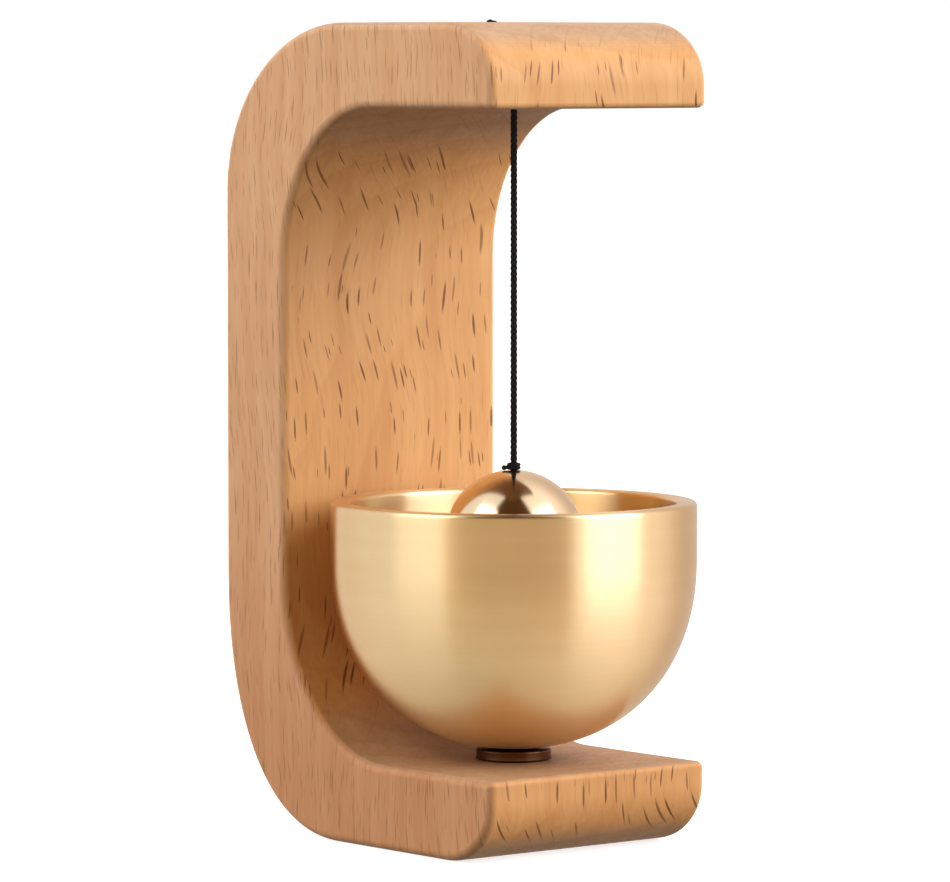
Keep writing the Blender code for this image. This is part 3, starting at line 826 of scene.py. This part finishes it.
def rounded(
    centre: Point, radii: Point, start: float, end: float, steps: int, power: float = 2.0
) -> list[Point]:
    """Points along a corner's curve.

    Args:
        centre: The middle of the curve.
        radii: Its two radii.
        start: The first angle, in degrees.
        end: The last angle.
        steps: The number of steps between them.
        power: 2 for an ellipse, and more for a squarer curve.

    Returns:
        The points, both ends included.
    """
    points = []
    for n in range(steps + 1):
        angle = math.radians(start + (end - start) * n / steps)
        across, up = math.cos(angle), math.sin(angle)
        reach = math.copysign(abs(across) ** (2 / power), across)
        rise = math.copysign(abs(up) ** (2 / power), up)
        points.append((centre[0] + radii[0] * reach, centre[1] + radii[1] * rise))
    return points


def ring_profile(inner: float, outer: float, low: float, high: float, edge: float) -> list[Point]:
    """The closed outline of a washer or a disc with rounded outer edges."""
    points = [(inner, low)]
    points += rounded((outer - edge, low + edge), (edge, edge), -90, 0, 6)
    points += rounded((outer - edge, high - edge), (edge, edge), 0, 90, 6)
    points += [(inner, high)]
    return points + points[:1] if inner else points


def bore_profile(radius: float, low: float, high: float, flare: float, over: float) -> list[Point]:
    """The outline of a drill that runs past both ends of a hole and breaks its edges."""
    wide = radius + flare + over
    points = [(0.0, low - over), (wide, low - over), (radius, low + flare)]
    return points + [(radius, high - flare), (wide, high + over), (0.0, high + over)]


@dataclass
class SubAssembly:
    """What every sub-assembly has: the shapes, the finishes and the pieces it has made."""

    shapes: Shapes
    wardrobe: Wardrobe
    axis: Vector  # the point on the bell axis at the standing level

    def __post_init__(self) -> None:
        """Starts with no pieces."""
        self.pieces = []

    def at(self, height: float = 0.0) -> Matrix:
        """The place on the bell axis at this height."""
        return Matrix.Translation(self.axis + Vector((0.0, 0.0, height)))

    def surface(self, slot: Slot) -> bpy.types.Material:
        """The finish for a slot."""
        return self.wardrobe.materials[slot]

    def keep(self, piece: bpy.types.Object, slot: Slot, body: Body, *nodes: str) -> None:
        """Files a finished piece.

        Args:
            piece: The piece.
            slot: Its finish.
            body: What it moves with.
            nodes: The CAD nodes that it stands for.
        """
        piece.data.materials.clear()
        piece.data.materials.append(self.surface(slot))
        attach(piece, body.value)
        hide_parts(*nodes)
        self.pieces.append(piece)
        log.info("%s: %d faces, rides on %s", piece.name, len(piece.data.polygons), body.value)


# ---------------------------------------------------------------------------------------------
# The cord, its knots and the ball
# ---------------------------------------------------------------------------------------------


@dataclass
class Striker(SubAssembly):
    """The ball on its cord, with the knot in the arm, the hitch on the ball and the knot under it."""

    cord_radius: float = 0.45 * MM
    cord_points: int = 30
    tail_reach: float = 3.1 * MM
    tail_bearing: float = math.radians(141.0)
    tail_steps: int = 14
    knot_reach: float = 1.03 * MM
    knot_lift: float = 0.38 * MM  # how far the arm's knot rises and falls about its middle
    knot_middle: float = 0.85 * MM  # above the recess's floor
    hitch_thread: float = 0.26 * MM
    hitch_reach: float = 1.25 * MM
    hitch_sink: float = 0.28 * MM  # how far the hitch sits down round the top of the bore
    hitch_sweep: float = 0.9  # how far its cut end runs round, in radians
    hitch_steps: int = 12
    ball_radius: float = 9.05 * MM
    ball_rise: float = 3.95 * MM
    bore_radius: float = 0.8 * MM
    recess_radius: float = 2.0 * MM
    recess_depth: float = 2.2 * MM
    edge: float = 0.25 * MM

    def point(self, height: float, out: float = 0.0, bearing: float = 0.0) -> Vector:
        """A point about the bell axis."""
        return Vector(
            (self.axis.x + out * math.cos(bearing), self.axis.y + out * math.sin(bearing), height)
        )

    def knot_line(self, middle: float, lift: float) -> list:
        """The closed line of a pulled-tight overhand knot, about a height on the axis."""
        points = []
        for n in range(90):
            t = math.tau * n / 90
            x = self.knot_reach * (math.sin(t) + 2 * math.sin(2 * t)) / 3
            y = self.knot_reach * (math.cos(t) - 2 * math.cos(2 * t)) / 3
            points.append(self.point(middle) + Vector((x, y, -lift * math.sin(3 * t))))
        return points

    def bead(self, name: str, middle: Vector, radius: float, flat: float = 1.0) -> bpy.types.Object:
        """The melted end of a cord."""
        profile = rounded((0.0, 0.0), (radius, radius * flat), -90, 90, 10)
        profile[0], profile[-1] = (0.0, -radius * flat), (0.0, radius * flat)
        place = Matrix.Translation(middle)
        return self.shapes.turned(name, profile, self.surface(Slot.CORD), place, steps=20)

    def build_cord(self) -> None:
        """The hanging cord, its stretch in the arm and its knots."""
        cord, radius = self.surface(Slot.CORD), self.cord_radius
        low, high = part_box("striker_cord")
        count = self.cord_points
        line = [self.point(high.z + (low.z - high.z) * n / (count - 1)) for n in range(count)]
        hanging = self.shapes.braided("hanging_cord", line, radius, cord)
        arm_low, arm_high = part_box("cord_in_arm")
        upper = [self.point(high.z), self.point(arm_high.z + 0.5 * MM)]
        in_arm = self.shapes.braided("cord_in_bore", upper, radius, cord)

        low_knot, high_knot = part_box("ball_lower_knot")
        middle, lift = (low_knot.z + high_knot.z) / 2, (high_knot.z - low_knot.z) / 2 - radius
        under = self.shapes.braided("under", self.knot_line(middle, lift), radius, cord, closed=True)
        stub_line = [self.point(low.z + 0.2 * MM), self.point(middle)]
        stub = self.shapes.braided("stub", stub_line, radius, cord)
        under = self.shapes.joined("knot_under_ball", [under, stub])

        hitch = self.build_hitch(cord)
        in_knot = self.build_arm_knot(cord)
        self.keep(hanging, Slot.CORD, Body.STRIKER, "striker_cord")
        self.keep(under, Slot.CORD, Body.STRIKER, "ball_lower_knot")
        self.keep(hitch, Slot.CORD, Body.STRIKER, "ball_upper_knot")
        self.keep(in_arm, Slot.CORD, Body.HANGER, "cord_in_arm")
        self.keep(in_knot, Slot.CORD, Body.HANGER, "top_knot")

    def build_arm_knot(self, cord: bpy.types.Material) -> bpy.types.Object:
        """The stopper knot in the upper arm, with its cut end lying beside it."""
        low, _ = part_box("top_knot")
        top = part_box("frame")[1].z
        middle = low.z + self.knot_middle
        knot = self.knot_line(middle, self.knot_lift)
        knot = self.shapes.braided("arm_knot", knot, self.cord_radius, cord, closed=True)
        line = []
        for n in range(self.tail_steps + 1):
            t = n / self.tail_steps
            rise, out = t * t * (3 - 2 * t), self.tail_reach * (0.25 + 0.75 * t)
            line.append(self.point(middle + (top - middle) * rise, out, self.tail_bearing))
        tail = self.shapes.braided("arm_tail", line, self.cord_radius * 0.98, cord)
        tip = self.bead("arm_tip", line[-1], self.cord_radius * 0.94, 0.9)
        return self.shapes.joined("knot_in_arm", [knot, tail, tip])

    def build_hitch(self, cord: bpy.types.Material) -> bpy.types.Object:
        """Two turns of thread that seize the cord on top of the ball, with a short cut end."""
        thread, per_turn = self.hitch_thread, 40
        reach, step = self.cord_radius + thread * 0.7, thread * 1.5
        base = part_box("ball_upper_knot")[0].z - self.hitch_sink
        pieces = []
        for n in range(2):
            middle = base + thread + step * n
            ring = [self.point(middle, reach, math.tau * k / per_turn) for k in range(per_turn)]
            pieces.append(self.shapes.braided(f"wrap_{n}", ring, thread, cord, closed=True))
        line = []
        for k in range(self.hitch_steps + 1):
            t = k / self.hitch_steps
            bearing = self.tail_bearing + self.hitch_sweep * (1 - t)
            out = reach + (self.hitch_reach - reach) * t * t
            line.append(self.point(base + thread * (2.0 - t), out, bearing))
        pieces.append(self.shapes.braided("wrap_end", line, thread, cord))
        pieces.append(self.bead("wrap_tip", line[-1], thread * 1.25))
        return self.shapes.joined("hitch_on_ball", pieces)

    def build_ball(self) -> None:
        """The ball, bored through, with a recess under it."""
        radius, edge = self.ball_radius, self.edge
        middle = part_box("bell_cup")[1].z + self.ball_rise - radius
        first = math.degrees(math.acos((self.bore_radius + edge) / radius))
        last = math.degrees(math.acos((self.recess_radius + edge) / radius))
        profile = rounded((0.0, 0.0), (radius, radius), first, -last, 110)
        bottom, roof = profile[-1][1], self.recess_depth - radius
        profile += rounded((self.recess_radius + edge, bottom + edge), (edge, edge), 270, 180, 5)
        profile += [(self.recess_radius, roof), (self.bore_radius, roof)]
        profile += rounded((self.bore_radius + edge, profile[0][1] - edge), (edge, edge), 180, 90, 5)
        surface = self.surface(Slot.POLISHED_BRASS)
        ball = self.shapes.turned("ball", profile, surface, self.at(middle), steps=160)
        self.keep(ball, Slot.POLISHED_BRASS, Body.STRIKER, "striker_ball")


# ---------------------------------------------------------------------------------------------
# The bracket
# ---------------------------------------------------------------------------------------------


@dataclass
class Bracket(SubAssembly):
    """The one-piece beech bracket and the two magnets in its back."""

    board_front: float = 25.3 * MM  # from the bell axis
    nose: Point = (9.5 * MM, 8.0 * MM)
    inner_lower: Point = (20.0 * MM, 22.0 * MM)
    inner_upper: Point = (18.0 * MM, 20.0 * MM)
    outer_upper: Point = (24.0 * MM, 22.0 * MM)
    outer_lower: Point = (23.5 * MM, 34.0 * MM)
    lower_power: float = 2.25
    arm_edge: float = 0.8 * MM
    side_edge: float = 1.1 * MM
    edge_steps: int = 6
    cord_bore: float = 0.8 * MM
    knot_recess: Point = (4.05 * MM, 2.2 * MM)  # radius and depth
    screw_recess: Point = (5.3 * MM, 4.0 * MM)
    magnet_gap: float = 0.3 * MM
    break_edge: float = 0.25 * MM
    least_radius: float = 0.01 * MM  # of a corner that is drawn in past its middle

    def outline(self, inset: float) -> list[Point]:
        """The outline as (Y, Z) points, drawn in by an inset.

        Args:
            inset: How far inside the full outline.

        Returns:
            The points, the same number for every inset.
        """
        low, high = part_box("frame")
        front, back = low.y + inset, high.y - inset
        base, top = low.z + inset, high.z - inset
        floor, roof = ARM_THICKNESS - inset, high.z - ARM_THICKNESS + inset
        face = self.axis.y + self.board_front + inset

        def corner(radii: Point, change: float) -> Point:
            """A corner's radii after the inset."""
            return tuple(max(radius + change, self.least_radius) for radius in radii)

        edge = corner((self.arm_edge, self.arm_edge), -inset)
        nose, inner = corner(self.nose, -inset), corner(self.inner_lower, inset)
        inner_up = corner(self.inner_upper, inset)
        outer_up, outer = corner(self.outer_upper, -inset), corner(self.outer_lower, -inset)
        points = rounded((front + edge[0], floor - edge[1]), edge, 180, 90, 8)
        points += rounded((face - inner[0], floor + inner[1]), inner, -90, 0, 36)
        points += rounded((face - inner_up[0], roof - inner_up[1]), inner_up, 0, 90, 36)
        points += rounded((front + edge[0], roof + edge[1]), edge, 270, 180, 8)
        points += rounded((front + nose[0], top - nose[1]), nose, 180, 90, 24)
        points += rounded((back - outer_up[0], top - outer_up[1]), outer_up, 90, 0, 36)
        points += rounded((back - outer[0], base + outer[1]), outer, 0, -90, 44, self.lower_power)
        points += rounded((front + nose[0], base + nose[1]), nose, 270, 180, 24)
        return points

    def build_wood(self) -> None:
        """The outline run across the width, its side edges rounded, then its holes."""
        low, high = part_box("frame")
        half, edge, steps = (high.x - low.x) / 2, self.side_edge, self.edge_steps
        rings = []
        for n in range(steps + 1):
            angle = math.pi / 2 * n / steps
            rings.append((half - edge * (1 - math.cos(angle)), edge * (1 - math.sin(angle))))
        rings += [(-x, inset) for x, inset in reversed(rings)]
        bm = bmesh.new()
        loops = [[bm.verts.new((x, y, z)) for y, z in self.outline(inset)] for x, inset in rings]
        for near, far in zip(loops, loops[1:]):
            for n, vert in enumerate(near):
                after = (n + 1) % len(near)
                bm.faces.new((vert, near[after], far[after], far[n]))
        bm.faces.new(loops[0])
        bm.faces.new(loops[-1])
        bmesh.ops.recalc_face_normals(bm, faces=bm.faces)
        mesh = bpy.data.meshes.new("wood")
        bm.to_mesh(mesh)
        bm.free()
        wood = bpy.data.objects.new("wood", mesh)
        bpy.context.scene.collection.objects.link(wood)
        wood = self.shapes.cut(wood, self.drills(high.z))
        self.shapes.tidy(wood, 40.0)
        even = wood.modifiers.new("even shading", "WEIGHTED_NORMAL")
        even.keep_sharp = True
        self.keep(wood, Slot.BEECH, Body.BRACKET, "frame")

    def drills(self, top: float) -> list[bpy.types.Object]:
        """The cutters for every hole in the wood, with their edges broken."""
        surface, edge, over = self.surface(Slot.BEECH), self.break_edge, 1.0 * MM
        underside = top - ARM_THICKNESS
        knot, screw = self.knot_recess, self.screw_recess
        cuts = {
            "cord_bore": bore_profile(self.cord_bore, underside, top - knot[1], edge, over),
            "knot_recess": self.recess_profile(knot[0], top - knot[1], top, edge, over),
            "screw_hole": bore_profile(SCREW_HOLE, screw[1], ARM_THICKNESS, edge, over),
        }
        made = [self.shapes.turned(n, p, surface, self.at(), steps=48) for n, p in cuts.items()]
        flip = self.at() @ Matrix.Rotation(math.pi, 4, "X")
        profile = self.recess_profile(screw[0], -screw[1], 0.0, edge, over)
        made.append(self.shapes.turned("screw_recess", profile, surface, flip, steps=64))
        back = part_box("frame")[1].y
        for node in ("lower_magnet", "upper_magnet"):
            low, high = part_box(node)
            depth = back - low.y + self.magnet_gap
            reach = (high.z - low.z) / 2 + self.magnet_gap
            profile = self.recess_profile(reach, -depth, 0.0, edge, over)
            place = Matrix.Translation((0.0, back, (low.z + high.z) / 2))
            place @= Matrix.Rotation(-math.pi / 2, 4, "X")
            made.append(self.shapes.turned(node + "_recess", profile, surface, place, steps=64))
        return made

    @staticmethod
    def recess_profile(
        radius: float, floor: float, mouth: float, edge: float, over: float
    ) -> list[Point]:
        """The outline of a flat-bottomed drill that breaks the edge of its mouth."""
        points = [(0.0, floor), (radius - edge, floor), (radius, floor + edge)]
        points += [(radius, mouth - edge), (radius + edge + over, mouth + over)]
        return points + [(0.0, mouth + over)]

    def build_magnets(self) -> None:
        """Two nickel-plated discs, let into the back."""
        for node in ("lower_magnet", "upper_magnet"):
            low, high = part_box(node)
            profile = ring_profile(0.0, (high.z - low.z) / 2, 0.0, high.y - low.y, 0.3 * MM)
            place = Matrix.Translation((0.0, low.y, (low.z + high.z) / 2))
            place @= Matrix.Rotation(-math.pi / 2, 4, "X")
            surface = self.surface(Slot.NICKEL)
            disc = self.shapes.turned(node + "_disc", profile, surface, place, steps=64)
            self.keep(disc, Slot.NICKEL, Body.BRACKET, node)


# ---------------------------------------------------------------------------------------------
# The cup and what holds it
# ---------------------------------------------------------------------------------------------


@dataclass
class Cup(SubAssembly):
    """The brass cup, and the collar, screw, washers and nut that clamp it to the bracket."""

    radius: float = 23.45 * MM
    wall: float = 2.6 * MM
    bowl_depth: float = 24.5 * MM
    power: float = 2.2
    foot_radius: float = 4.6 * MM
    floor_radius: float = 5.3 * MM
    lip_edge: float = 0.55 * MM
    collar_radius: float = 4.9 * MM
    collar_edge: float = 0.3 * MM
    collar_waist: float = 0.12 * MM  # how far the collar's side is drawn in at half height
    screw_radius: float = 2.0 * MM
    head_radius: float = 3.8 * MM
    head_height: float = 2.2 * MM
    socket: Point = (2.5 * MM, 1.3 * MM)  # across flats, depth
    thread_pitch: float = 0.7 * MM
    thread_depth: float = 0.32 * MM
    tip_chamfer: float = 0.4 * MM
    head_edge: float = 0.15 * MM
    washer_edge: float = 0.14 * MM
    nut_across: float = 7.0 * MM
    nut_chamfer: float = 0.1 * MM

    def bowl(self, start: float, widest: float, depth: float, steps: int) -> list[Point]:
        """(radius, rise) points of a bowl, from a start radius up to its straight wall."""
        shape = 1 - (start / widest) ** self.power
        first = math.acos(shape**0.5)
        points = []
        for n in range(steps + 1):
            angle = first + (math.pi / 2 - first) * n / steps
            rise = 1 - max(math.cos(angle), 0.0) ** (2 / self.power)
            points.append((widest * math.sin(angle) ** (2 / self.power), depth * rise))
        return points

    def build_cup(self) -> None:
        """The thick-walled bowl with its rounded lip, flat foot and flat inner floor."""
        low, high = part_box("bell_cup")
        height, inner = high.z - low.z, self.radius - self.wall
        lip, edge = height - self.lip_edge, (self.lip_edge, self.lip_edge)
        outside = self.bowl(self.foot_radius, self.radius, self.bowl_depth, 64)
        inside = self.bowl(self.floor_radius, inner, self.bowl_depth - self.wall, 52)
        inside = [(r, z + self.wall) for r, z in inside]
        wall_steps = [self.bowl_depth + (lip - self.bowl_depth) * n / 8 for n in range(1, 8)]
        profile = [(SCREW_HOLE, 0.0)] + outside + [(self.radius, z) for z in wall_steps]
        profile += rounded((self.radius - edge[0], lip), edge, 0, 90, 8)
        profile += rounded((inner + edge[0], lip), edge, 90, 180, 8)
        profile += [(inner, z) for z in reversed(wall_steps)] + inside[::-1]
        profile += [(SCREW_HOLE, inside[0][1]), (SCREW_HOLE, 0.0)]
        surface = self.surface(Slot.SATIN_BRASS)
        cup = self.shapes.turned("cup", profile, surface, self.at(low.z), steps=256)
        self.keep(cup, Slot.SATIN_BRASS, Body.BRACKET, "bell_cup")

    def build_collar(self) -> None:
        """The dark waisted ring that the cup stands on."""
        arm_top, cup_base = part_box("frame")[0].z + ARM_THICKNESS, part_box("bell_cup")[0].z
        height, edge, outer = cup_base - arm_top, self.collar_edge, self.collar_radius
        profile = [(SCREW_HOLE, 0.0)]
        profile += rounded((outer - edge, edge), (edge, edge), -90, 0, 6)
        profile += [(outer - self.collar_waist, height * 0.5)]
        profile += rounded((outer - edge, height - edge), (edge, edge), 0, 90, 6)
        profile += [(SCREW_HOLE, height), (SCREW_HOLE, 0.0)]
        surface = self.surface(Slot.COLLAR)
        ring = self.shapes.turned("collar", profile, surface, self.at(arm_top), steps=128)
        self.keep(ring, Slot.COLLAR, Body.BRACKET, "cup_collar")

    def build_screw(self) -> None:
        """The screw that comes up through the lower arm, with a hexagon socket and a real thread."""
        low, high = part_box("cup_screw")
        steel, length = self.surface(Slot.STEEL), high.z - low.z
        head, shank, tall = self.head_radius, self.screw_radius, self.head_height
        edge, tip = self.head_edge, self.tip_chamfer
        profile = [(0.0, 0.0), (head * 0.55, 0.0)]
        profile += rounded((head * 0.55, tall * 0.6), (head * 0.45, tall * 0.6), -90, 0, 14)[1:]
        profile += rounded((head - edge, tall - edge), (edge, edge), 0, 90, 4)
        profile += [(shank, tall)]
        rows = round((length - tall) / (self.thread_pitch / 10))
        profile += [(shank, tall + (length - tall - tip) * n / rows) for n in range(1, rows + 1)]
        profile += [(shank - tip, length), (0.0, length)]
        thread = {"thread_depth": self.thread_depth, "thread_pitch": self.thread_pitch}
        thread |= {"thread_low": tall + 1.2 * MM, "thread_high": length - 0.3 * MM, "steps": 32}
        screw = self.shapes.turned("screw", profile, steel, self.at(low.z), **thread)
        across, deep = self.socket
        reach = across / 2 / math.cos(math.pi / 6)
        profile = [(0.0, -deep), (reach, -deep), (reach, deep), (0.0, deep + tip)]
        key = self.shapes.turned("key", profile, steel, self.at(low.z), steps=6)
        screw = self.shapes.tidy(self.shapes.cut(screw, [key]), 40.0)
        self.keep(screw, Slot.STEEL, Body.BRACKET, "cup_screw")

    def build_washers(self) -> None:
        """The steel washer under the screw's head and the fibre washer in the cup."""
        pairs = (("screw_washer", "steel_washer", Slot.STEEL), ("cup_washer", "red_washer", Slot.FIBRE))
        for node, name, slot in pairs:
            low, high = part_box(node)
            outer = (high.x - low.x) / 2
            profile = ring_profile(SCREW_HOLE, outer, 0.0, high.z - low.z, self.washer_edge)
            washer = self.shapes.turned(name, profile, self.surface(slot), self.at(low.z), steps=72)
            self.keep(washer, slot, Body.BRACKET, node)

    def build_nut(self) -> None:
        """The hexagon nut, with its corners chamfered and its bore countersunk and threaded."""
        low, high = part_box("cup_nut")
        steel, tall = self.surface(Slot.STEEL), high.z - low.z
        reach = self.nut_across / 2 / math.cos(math.pi / 6)
        block = [(0.0, 0.0), (reach, 0.0), (reach, tall), (0.0, tall)]
        nut = self.shapes.turned("nut", block, steel, self.at(low.z), steps=6)
        slope = (reach - self.nut_across / 2 + self.nut_chamfer) * math.tan(math.radians(30))
        inner = self.nut_across / 2 - self.nut_chamfer
        cone = [(0.0, 0.0), (inner, 0.0), (reach, slope)]
        cone += [(reach, tall - slope), (inner, tall), (0.0, tall)]
        cone = self.shapes.turned("cone", cone, steel, self.at(low.z), steps=72)
        nut = self.shapes.cut(nut, [cone], Cut.INSIDE)
        hole = bore_profile(SCREW_HOLE, 0.0, tall, 0.3 * MM, 0.3 * MM)
        (wide_low, wide_high), rows = (hole[2], hole[3]), 40
        step = (wide_high[1] - wide_low[1]) / rows
        hole[2:4] = [(SCREW_HOLE, wide_low[1] + step * n) for n in range(rows + 1)]
        thread = {"thread_depth": self.thread_depth, "thread_pitch": self.thread_pitch}
        thread |= {"thread_low": 0.35 * MM, "thread_high": tall - 0.35 * MM, "steps": 32}
        tap = self.shapes.turned("tap", hole, steel, self.at(low.z), **thread)
        nut = self.shapes.tidy(self.shapes.cut(nut, [tap]), 30.0)
        self.keep(nut, Slot.STEEL, Body.BRACKET, "cup_nut")


# ---------------------------------------------------------------------------------------------
# The studio
# ---------------------------------------------------------------------------------------------


@dataclass
class Studio:
    """A pale floor, soft light with a darker gap in front, and the camera."""

    axis: Vector
    bearing: float = math.radians(39.0)  # how far the camera stands round towards -X
    pitch: float = math.radians(3.86)
    distance: float = 736.9 * MM
    aside: float = 4.96 * MM
    height: float = 101.37 * MM
    lens: float = 218.95
    sensor: float = 36.0
    lamp_target: float = 0.05  # the height that the lamps face
    floor_size: float = 8.0
    floor_drop: float = 0.05 * MM  # below the standing level
    floor_glow: float = 0.78
    gap_colour: Colour = (0.82, 0.67, 0.51)
    gap_high: Colour = (0.11, 0.055, 0.022)
    gap_shade: Colour = (0.05, 0.04, 0.03)
    left_colour: Colour = (0.97, 0.97, 1.02)
    right_colour: Colour = (1.18, 1.10, 1.14)
    low_tint: Colour = (1.0, 0.96, 0.86)
    back_tint: Colour = (1.0, 0.92, 0.84)
    contrast: float = 0.87  # the picture's gamma
    gap_left: float = -0.79  # the bearings of the gap's edges from the camera's line
    gap_right: float = 0.66
    gap_edge: float = 0.06

    def directions(self) -> tuple[Vector, Vector]:
        """The level directions from the bell to the camera, and to the camera's right."""
        towards = Vector((-math.sin(self.bearing), -math.cos(self.bearing), 0.0))
        right = Vector((math.cos(self.bearing), -math.sin(self.bearing), 0.0))
        return towards, right

    def camera(self) -> None:
        """Sets the camera."""
        towards, right = self.directions()
        data = bpy.data.cameras.new("camera")
        data.lens, data.sensor_width = self.lens, self.sensor
        data.clip_start, data.clip_end = 0.01, 50.0
        eye = bpy.data.objects.new("camera", data)
        bpy.context.scene.collection.objects.link(eye)
        eye.location = self.axis + towards * self.distance - right * self.aside
        eye.location.z = self.height
        look = -towards * math.cos(self.pitch) - Vector((0.0, 0.0, math.sin(self.pitch)))
        eye.rotation_euler = look.to_track_quat("-Z", "Y").to_euler()
        bpy.context.scene.camera = eye

    def sky(self) -> None:
        """Light all round, bright at both sides, with a darker gap over and behind the camera."""
        towards, right = self.directions()
        world = bpy.data.worlds.new("studio")
        bpy.context.scene.world = world
        world.use_nodes = True
        tree = Tree(world.node_tree)
        world.node_tree.nodes.clear()
        way = tree.add("ShaderNodeTexCoord").outputs["Generated"]
        side = tree.vector("DOT_PRODUCT", way, tuple(right))
        front = tree.vector("DOT_PRODUCT", way, tuple(towards))
        up = tree.add("ShaderNodeSeparateXYZ", {0: way}).outputs[2]
        bearing, edge = tree.math("ARCTAN2", side, front), self.gap_edge
        gap = tree.ramp(bearing, self.gap_left - edge, self.gap_left + edge)
        right_edge = tree.ramp(bearing, self.gap_right + edge, self.gap_right - edge)
        gap = tree.math("MULTIPLY", gap, right_edge)
        gap = tree.math("MULTIPLY", gap, tree.ramp(up, -0.75, -0.25))
        light = tree.mix(tree.ramp(side, -0.5, 0.5), self.left_colour, self.right_colour)
        light = tree.mix(tree.ramp(up, -0.25, -0.8), light, self.low_tint, "MULTIPLY")
        light = tree.mix(tree.ramp(front, -0.2, -0.7), light, self.back_tint, "MULTIPLY")
        path = tree.add("ShaderNodeLightPath").outputs
        dark = tree.mix(tree.ramp(up, 0.1, 0.5), self.gap_colour, self.gap_high)
        light = tree.mix(gap, light, tree.mix(path["Is Diffuse Ray"], dark, self.gap_shade))
        shine = tree.ramp(up, -0.95, -0.4, (0.68, 1.0))
        behind = tree.ramp(side, -0.5, 0.5, (0.92, 0.62))
        shine = tree.math("MULTIPLY", shine, tree.ramp(front, -0.8, -0.1, (behind, 1.0)))
        shade = tree.ramp(up, -0.5, 0.3, (0.25, 2.15))
        shade = tree.math("MULTIPLY", shade, tree.ramp(up, 0.45, 0.95, (1.0, 0.4)))
        sockets = {0: path["Is Diffuse Ray"], 2: shine, 3: shade}
        strength = tree.add("ShaderNodeMix", sockets, data_type="FLOAT").outputs[0]
        lit = tree.add("ShaderNodeBackground", {"Color": light, "Strength": strength}).outputs[0]
        plain = tree.add("ShaderNodeBackground", {"Color": (1.0, 1.0, 1.0, 1.0), "Strength": 1.0})
        sockets = {0: path["Is Camera Ray"], 1: lit, 2: plain.outputs[0]}
        both = tree.add("ShaderNodeMixShader", sockets).outputs[0]
        tree.add("ShaderNodeOutputWorld", {"Surface": both})
        picture = bpy.context.scene.view_settings
        picture.view_transform, picture.gamma = "Standard", self.contrast

    def softbox(
        self,
        name: str,
        turn: float,
        rise: float,
        away: float,
        size: Point,
        power: float,
        colour: Colour,
    ) -> None:
        """A large soft light that faces the bell.

        Args:
            name: Its name.
            turn: How far round from the camera, in degrees, to its right.
            rise: Its height above the horizon, in degrees.
            away: Its distance.
            size: Its width and height.
            power: Its power, in watts.
            colour: Its colour.
        """
        towards, right = self.directions()
        angle, lift = math.radians(turn), math.radians(rise)
        way = (towards * math.cos(angle) + right * math.sin(angle)) * math.cos(lift)
        way.z = math.sin(lift)
        data = bpy.data.lights.new(name, "AREA")
        data.shape, data.size, data.size_y = "RECTANGLE", *size
        data.energy, data.color = power, colour
        lamp = bpy.data.objects.new(name, data)
        bpy.context.scene.collection.objects.link(lamp)
        lamp.location = self.axis + Vector((0.0, 0.0, self.lamp_target)) + way * away
        lamp.rotation_euler = (-way).to_track_quat("-Z", "Y").to_euler()

    def floor(self) -> None:
        """A pale matt floor, clear from below. The room lights the bell and shows in it."""
        half = self.floor_size / 2
        corners = [(-half, -half), (half, -half), (half, half), (-half, half)]
        mesh = bpy.data.meshes.new("floor")
        mesh.from_pydata([(x, y, -self.floor_drop) for x, y in corners], [], [(0, 1, 2, 3)])
        floor = bpy.data.objects.new("floor", mesh)
        bpy.context.scene.collection.objects.link(floor)
        material = bpy.data.materials.new("floor_paper")
        material.use_nodes = True
        tree = Tree(material.node_tree)
        shader = material.node_tree.nodes["Principled BSDF"]
        tone = tree.noise(tree.add("ShaderNodeTexCoord").outputs["Object"], 3.0, 2.0)
        paper = tree.mix(tone, (0.52, 0.50, 0.47), (0.48, 0.46, 0.43))
        tree.feed(shader.inputs["Base Color"], paper)
        tree.feed(shader.inputs["Roughness"], 0.9)
        tree.feed(shader.inputs["Emission Color"], (1.0, 1.0, 1.0, 1.0))
        tree.feed(shader.inputs["Emission Strength"], self.floor_glow)
        back = tree.add("ShaderNodeNewGeometry").outputs["Backfacing"]
        clear = tree.add("ShaderNodeBsdfTransparent").outputs[0]
        both = tree.add("ShaderNodeMixShader", {0: back, 1: shader.outputs[0], 2: clear}).outputs[0]
        tree.feed(material.node_tree.nodes["Material Output"].inputs["Surface"], both)
        mesh.materials.append(material)
        floor.visible_diffuse = floor.visible_glossy = False

    def build(self) -> None:
        """Builds the whole studio."""
        self.camera()
        self.sky()
        self.softbox("key", 66.0, 26.0, 0.55, (0.4, 0.4), 1.8, (0.84, 1.0, 1.22))
        self.softbox("fill", -62.0, 32.0, 0.45, (0.3, 0.3), 0.7, (1.0, 0.97, 0.95))
        self.floor()


def main() -> None:
    """Builds the studio and the bell."""
    logging.basicConfig(level=logging.INFO, format="%(name)s: %(message)s")
    low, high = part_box("bell_cup")
    axis = Vector(((low.x + high.x) / 2, (low.y + high.y) / 2, 0.0))
    Studio(axis).build()
    shapes, wardrobe = Shapes(), Wardrobe(axis)

    striker = Striker(shapes, wardrobe, axis)
    striker.build_cord()
    striker.build_ball()
    bracket = Bracket(shapes, wardrobe, axis)
    bracket.build_wood()
    bracket.build_magnets()
    cup = Cup(shapes, wardrobe, axis)
    cup.build_cup()
    cup.build_collar()
    cup.build_screw()
    cup.build_washers()
    cup.build_nut()
    log.info("%d pieces", sum(len(part.pieces) for part in (striker, bracket, cup)))


if __name__ == "__main__":
    main()
